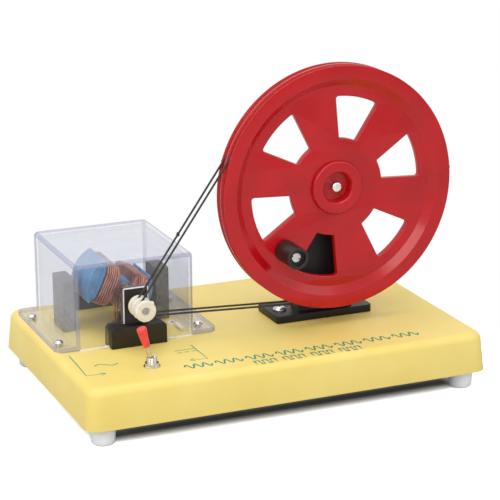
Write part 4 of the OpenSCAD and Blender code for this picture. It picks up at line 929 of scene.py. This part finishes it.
# Wire of one winding: over its end face from the stem outwards, then along it to the shoe, with a swell
def windingPath(turn):
    path = []
    steps = winding["steps"]
    quarter = winding["cornerSteps"] + winding["sideSteps"]
    faceSteps = winding["faceTurns"] * steps
    total = faceSteps + winding["turns"] * steps
    for i in range(total + 1):
        along = max(0, i - faceSteps) / (total - faceSteps)
        inwards = max(0, faceSteps - i) / steps * winding["facePitch"] * winding["wireR"]
        out = winding["air"] + winding["wireR"] + winding["swell"] * sin(pi * along) - inwards
        halfY = winding["coreHalf"] + winding["over"] + out
        halfZ = winding["stemHalf"] + winding["thick"] + out
        r = winding["corner"] + out
        corner, part = divmod(i % steps, quarter)
        spots = []
        for c, share in ((corner, min(part / winding["cornerSteps"], 1)), (corner + 1, 0)):
            sideY, sideZ = ((1, 1), (-1, 1), (-1, -1), (1, -1))[c % 4]
            swing = radians(90 * (c + share))
            spots.append((sideY * (halfY - r) + r * cos(swing), sideZ * (halfZ - r) + r * sin(swing)))
        onSide = max(0, part - winding["cornerSteps"]) / winding["sideSteps"]
        y, z = (a + (b - a) * onSide for a, b in zip(*spots))
        wander = sin(2 * pi * winding["layWaves"] * (i % steps) / steps + turn + i * winding["layDrift"])
        x = winding["inner"] + (winding["outer"] - winding["inner"]) * along
        x += winding["lay"] * wander * sin(pi * along)
        x, z = swung(x, z, radians(place["poleTurn"] + turn), place["shaft"])
        path.append((x, place["coreMid"] + y, z))
    return path


for letter, turn in (("a", 0), ("b", 180)):
    nodeName = "coil_turns_" + letter
    turnsPiece = cordThrough(windingPath(turn), winding["wireR"], False, 1)
    finishPiece(turnsPiece, "armature", copperWire, nodeName, sharp=60)
    giveFinish(nodes["coil_core_" + letter], windingDepth)
print("windings ready")


switch = {
    "x": -78.7, "y": -55.1, "pivotUp": 1.5, "lean": -15,
    "bushR": 3.1, "boreR": 1.65, "bushUp": 5.6, "bushDown": 2.5, "thread": 0.6, "threadDeep": 0.28,
    "keyway": (1.0, 1.4, 4), "keyAt": (0, -3.2, 4.6),
    "leverR": 1.4, "leverLen": 22.4, "capFrom": 11.2, "capLen": 12.1, "capR": 2.95, "capBore": 1.42,
}
bushTop = deck + switch["bushUp"]
threadCorners = [(switch["boreR"], deck - 1.9, 0), (switch["bushR"], deck - switch["bushDown"], 0)]
z = deck - 2.0
while z < bushTop - 0.7:
    threadCorners += [(switch["bushR"] - 0.02, z, 0.05),
                      (switch["bushR"] - switch["threadDeep"], z + switch["thread"] / 2, 0.05),
                      (switch["bushR"] - 0.02, z + switch["thread"], 0.05)]
    z += switch["thread"]
threadCorners += [(switch["bushR"] - 0.2, bushTop, 0.08), (2.7, bushTop, 0.05),
                  (switch["boreR"], deck + switch["pivotUp"], 0.1)]
bushing = turnedUp(softened(threadCorners, 2))
keyX, keyY, keyUp = switch["keyAt"]
cutWith(bushing, block((keyX, keyY, deck + keyUp), switch["keyway"]))
moveTo(bushing, switch["x"], switch["y"])
finishPiece(bushing, "base", brightNickel, "toggle_bushing", "switchBushing", 40)

lever = softened([(0, -1.3, 0), (0.9, -1.1, 0.4), (1.35, 0, 0.6), (1.25, 1.0, 0.5), (1.2, 2.4, 0.5),
                  (switch["leverR"], 5.0, 1.0), (switch["leverR"], switch["leverLen"], 0.3),
                  (0, switch["leverLen"], 0)])
capTop = switch["capFrom"] + switch["capLen"]
cap = softened([(switch["capBore"], switch["capFrom"], 0), (2.0, switch["capFrom"], 0.2),
                (2.15, switch["capFrom"] + 2, 1), (switch["capR"], capTop - 1.0, 0.8),
                (switch["capR"] - 0.25, capTop, 0.7), (0, capTop, 0), (0, capTop - 0.8, 0),
                (switch["capBore"], capTop - 0.8, 0)])
for outline, pieceName, slotName, material, nodeName in (
        (lever, "switchLever", "nickel", brightNickel, "toggle_lever"),
        (cap, "leverCap", "red_cap", redVinyl, "lever_cap")):
    leaning = moveTo(turnedUp(outline, steps=36), switch["x"], switch["y"], deck + switch["pivotUp"],
                     (0, radians(switch["lean"]), 0))
    finishPiece(leaning, "lever", material, nodeName, pieceName, 50)
for nodeName, pieceName, softEdge in (("toggle_nut", "switchNut", 0.25),
                                      ("toggle_washer", "switchWasher", 0.12)):
    finishPiece(nodeCopy(nodeName, softEdge), "base", brightNickel, nodeName, pieceName)
print("switch ready")


# Thin lines of green screen ink: rows of plain waves and pulses, and a wave and bars at the switch's sides
ink = {
    "line": 0.7, "sign": 0.85, "high": 0.035,
    "flatY": -75.4, "edgeR": 4.8,    # past this the deck rounds down to the front
    # line's width, starts on X, then length, place on Y, height and period of each
    "waves": (1.15, range(-62, 80, 19), 16.5, -64.4, 6.4, 5.5),
    "pulses": (1.5, range(-22, 36, 18), 17, -73.6, 5.2, 5.0),
}


def inkLine(points, width):
    line = cordThrough([(x, y, 0) for x, y in points], width / 2)
    for vertex in line.data.vertices:
        past = min(max(ink["flatY"] - vertex.co.y / mm, 0), ink["edgeR"] - 0.1)
        drop = ink["edgeR"] - sqrt(ink["edgeR"] ** 2 - past ** 2)
        vertex.co.z = vertex.co.z * ink["high"] * 2 / width + (deck + 0.02 - drop) * mm
    return line


def wave(x0, x1, y, high, period):
    count = int((x1 - x0) / period * 12)
    return [(x0 + (x1 - x0) * k / count, y + high / 2 * sin(2 * pi * (x1 - x0) / period * k / count))
            for k in range(count + 1)]


def pulses(x0, x1, y, high, period):
    points = []
    x = x0
    while x < x1 - period * 0.9:
        fall = x + period * 0.55
        points += [(x, y - high / 2), (x, y + high / 2), (fall, y + high / 2), (fall, y - high / 2)]
        x += period
    return points


strokes = [(ink["line"], points) for points in (
    [(-116.9, -19.2), (-117.4, -37), (-118.2, -55.2), (-106.6, -55.5)],
    [(-109.6, -53.3), (-106.6, -55.5), (-109.6, -57.7)],
    [(-45.0, -30.0), (-44.8, -43), (-44.6, -55.6), (-55.1, -54.4)],
    [(-52.3, -52.6), (-55.1, -54.4), (-52.3, -56.6)])]
strokes += [(ink["sign"], points) for points in (
    wave(-109, -95, -42, 4.4, 14), [(-57.5, -36.4), (-45.5, -36.4)],
    [(-57.5, -40.2), (-54.4, -40.2)], [(-53.0, -40.2), (-50.0, -40.2)], [(-48.6, -40.2), (-45.5, -40.2)])]
for draw, (width, starts, long, y, high, period) in ((wave, ink["waves"]), (pulses, ink["pulses"])):
    strokes += [(width, draw(x, x + long, y, high, period)) for x in starts]
printed = joinAll([inkLine(points, width) for width, points in strokes])
finishPiece(printed, "base", greenInk, name="deckPrint", sharp=60)

# Clear cement squeezed out under the box's front wall, in two runs with drops
cement = {"r": 0.5, "up": 0.35, "runs": [(-108.5, -91.2), (-55.2, -38.0)],
          "drops": [(-91.6, 1.5), (-94.0, 0.9), (-54.6, 1.3), (-52.9, 0.8)]}
boxFront = box["y"] - box["halfY"]
cementParts = []
for x0, x1 in cement["runs"]:
    run = [(x0 + (x1 - x0) * k / 12, boxFront - 0.25 + 0.12 * sin(k * 2.1), deck + cement["up"])
           for k in range(13)]
    cementParts.append(cordThrough(run, cement["r"]))
for x, size in cement["drops"]:
    cementParts.append(lump((x, boxFront - 0.5, deck + 0.4), size, (1.25, 0.7, 0.62),
                            segments=20, rings=12))
finishPiece(joinAll(cementParts), "base", clearGlue, name="boxCement")
print("print and cement ready")


# What stays as the CAD gives it, with its finish
for material, names in (
        (blackSheet, "bottom_plate"),
        (zincSteel, "foot_screws bearing_block_screws"),
        (oiledBronze, "front_bush rear_bush wheel_bush"),
        (springBrass, "slip_ring_brushes commutator_brushes"),
        (ringBrass, "slip_rings brush_screws"),
        (segmentCopper, "commutator"),
        (sleevePaper, "ring_sleeve"),
        (groundSteel, "shaft_collar axle_collar"),
        (whiteVinyl, "lead_grommet lead_sleeve"),
        (leadCream, "brush_leads"),
        (leadRed, "socket_leads"),
        (switchPhenolic, "toggle_body"),
        (brightNickel, "toggle_pins socket_sleeves"),
        (socketRed, "output_socket_red"),
        (socketBlack, "output_socket_black socket_nuts")):
    for nodeName in names.split():
        giveFinish(nodes[nodeName], material)

bpy.ops.object.select_all(action="DESELECT")
low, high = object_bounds()
print("scene ready")
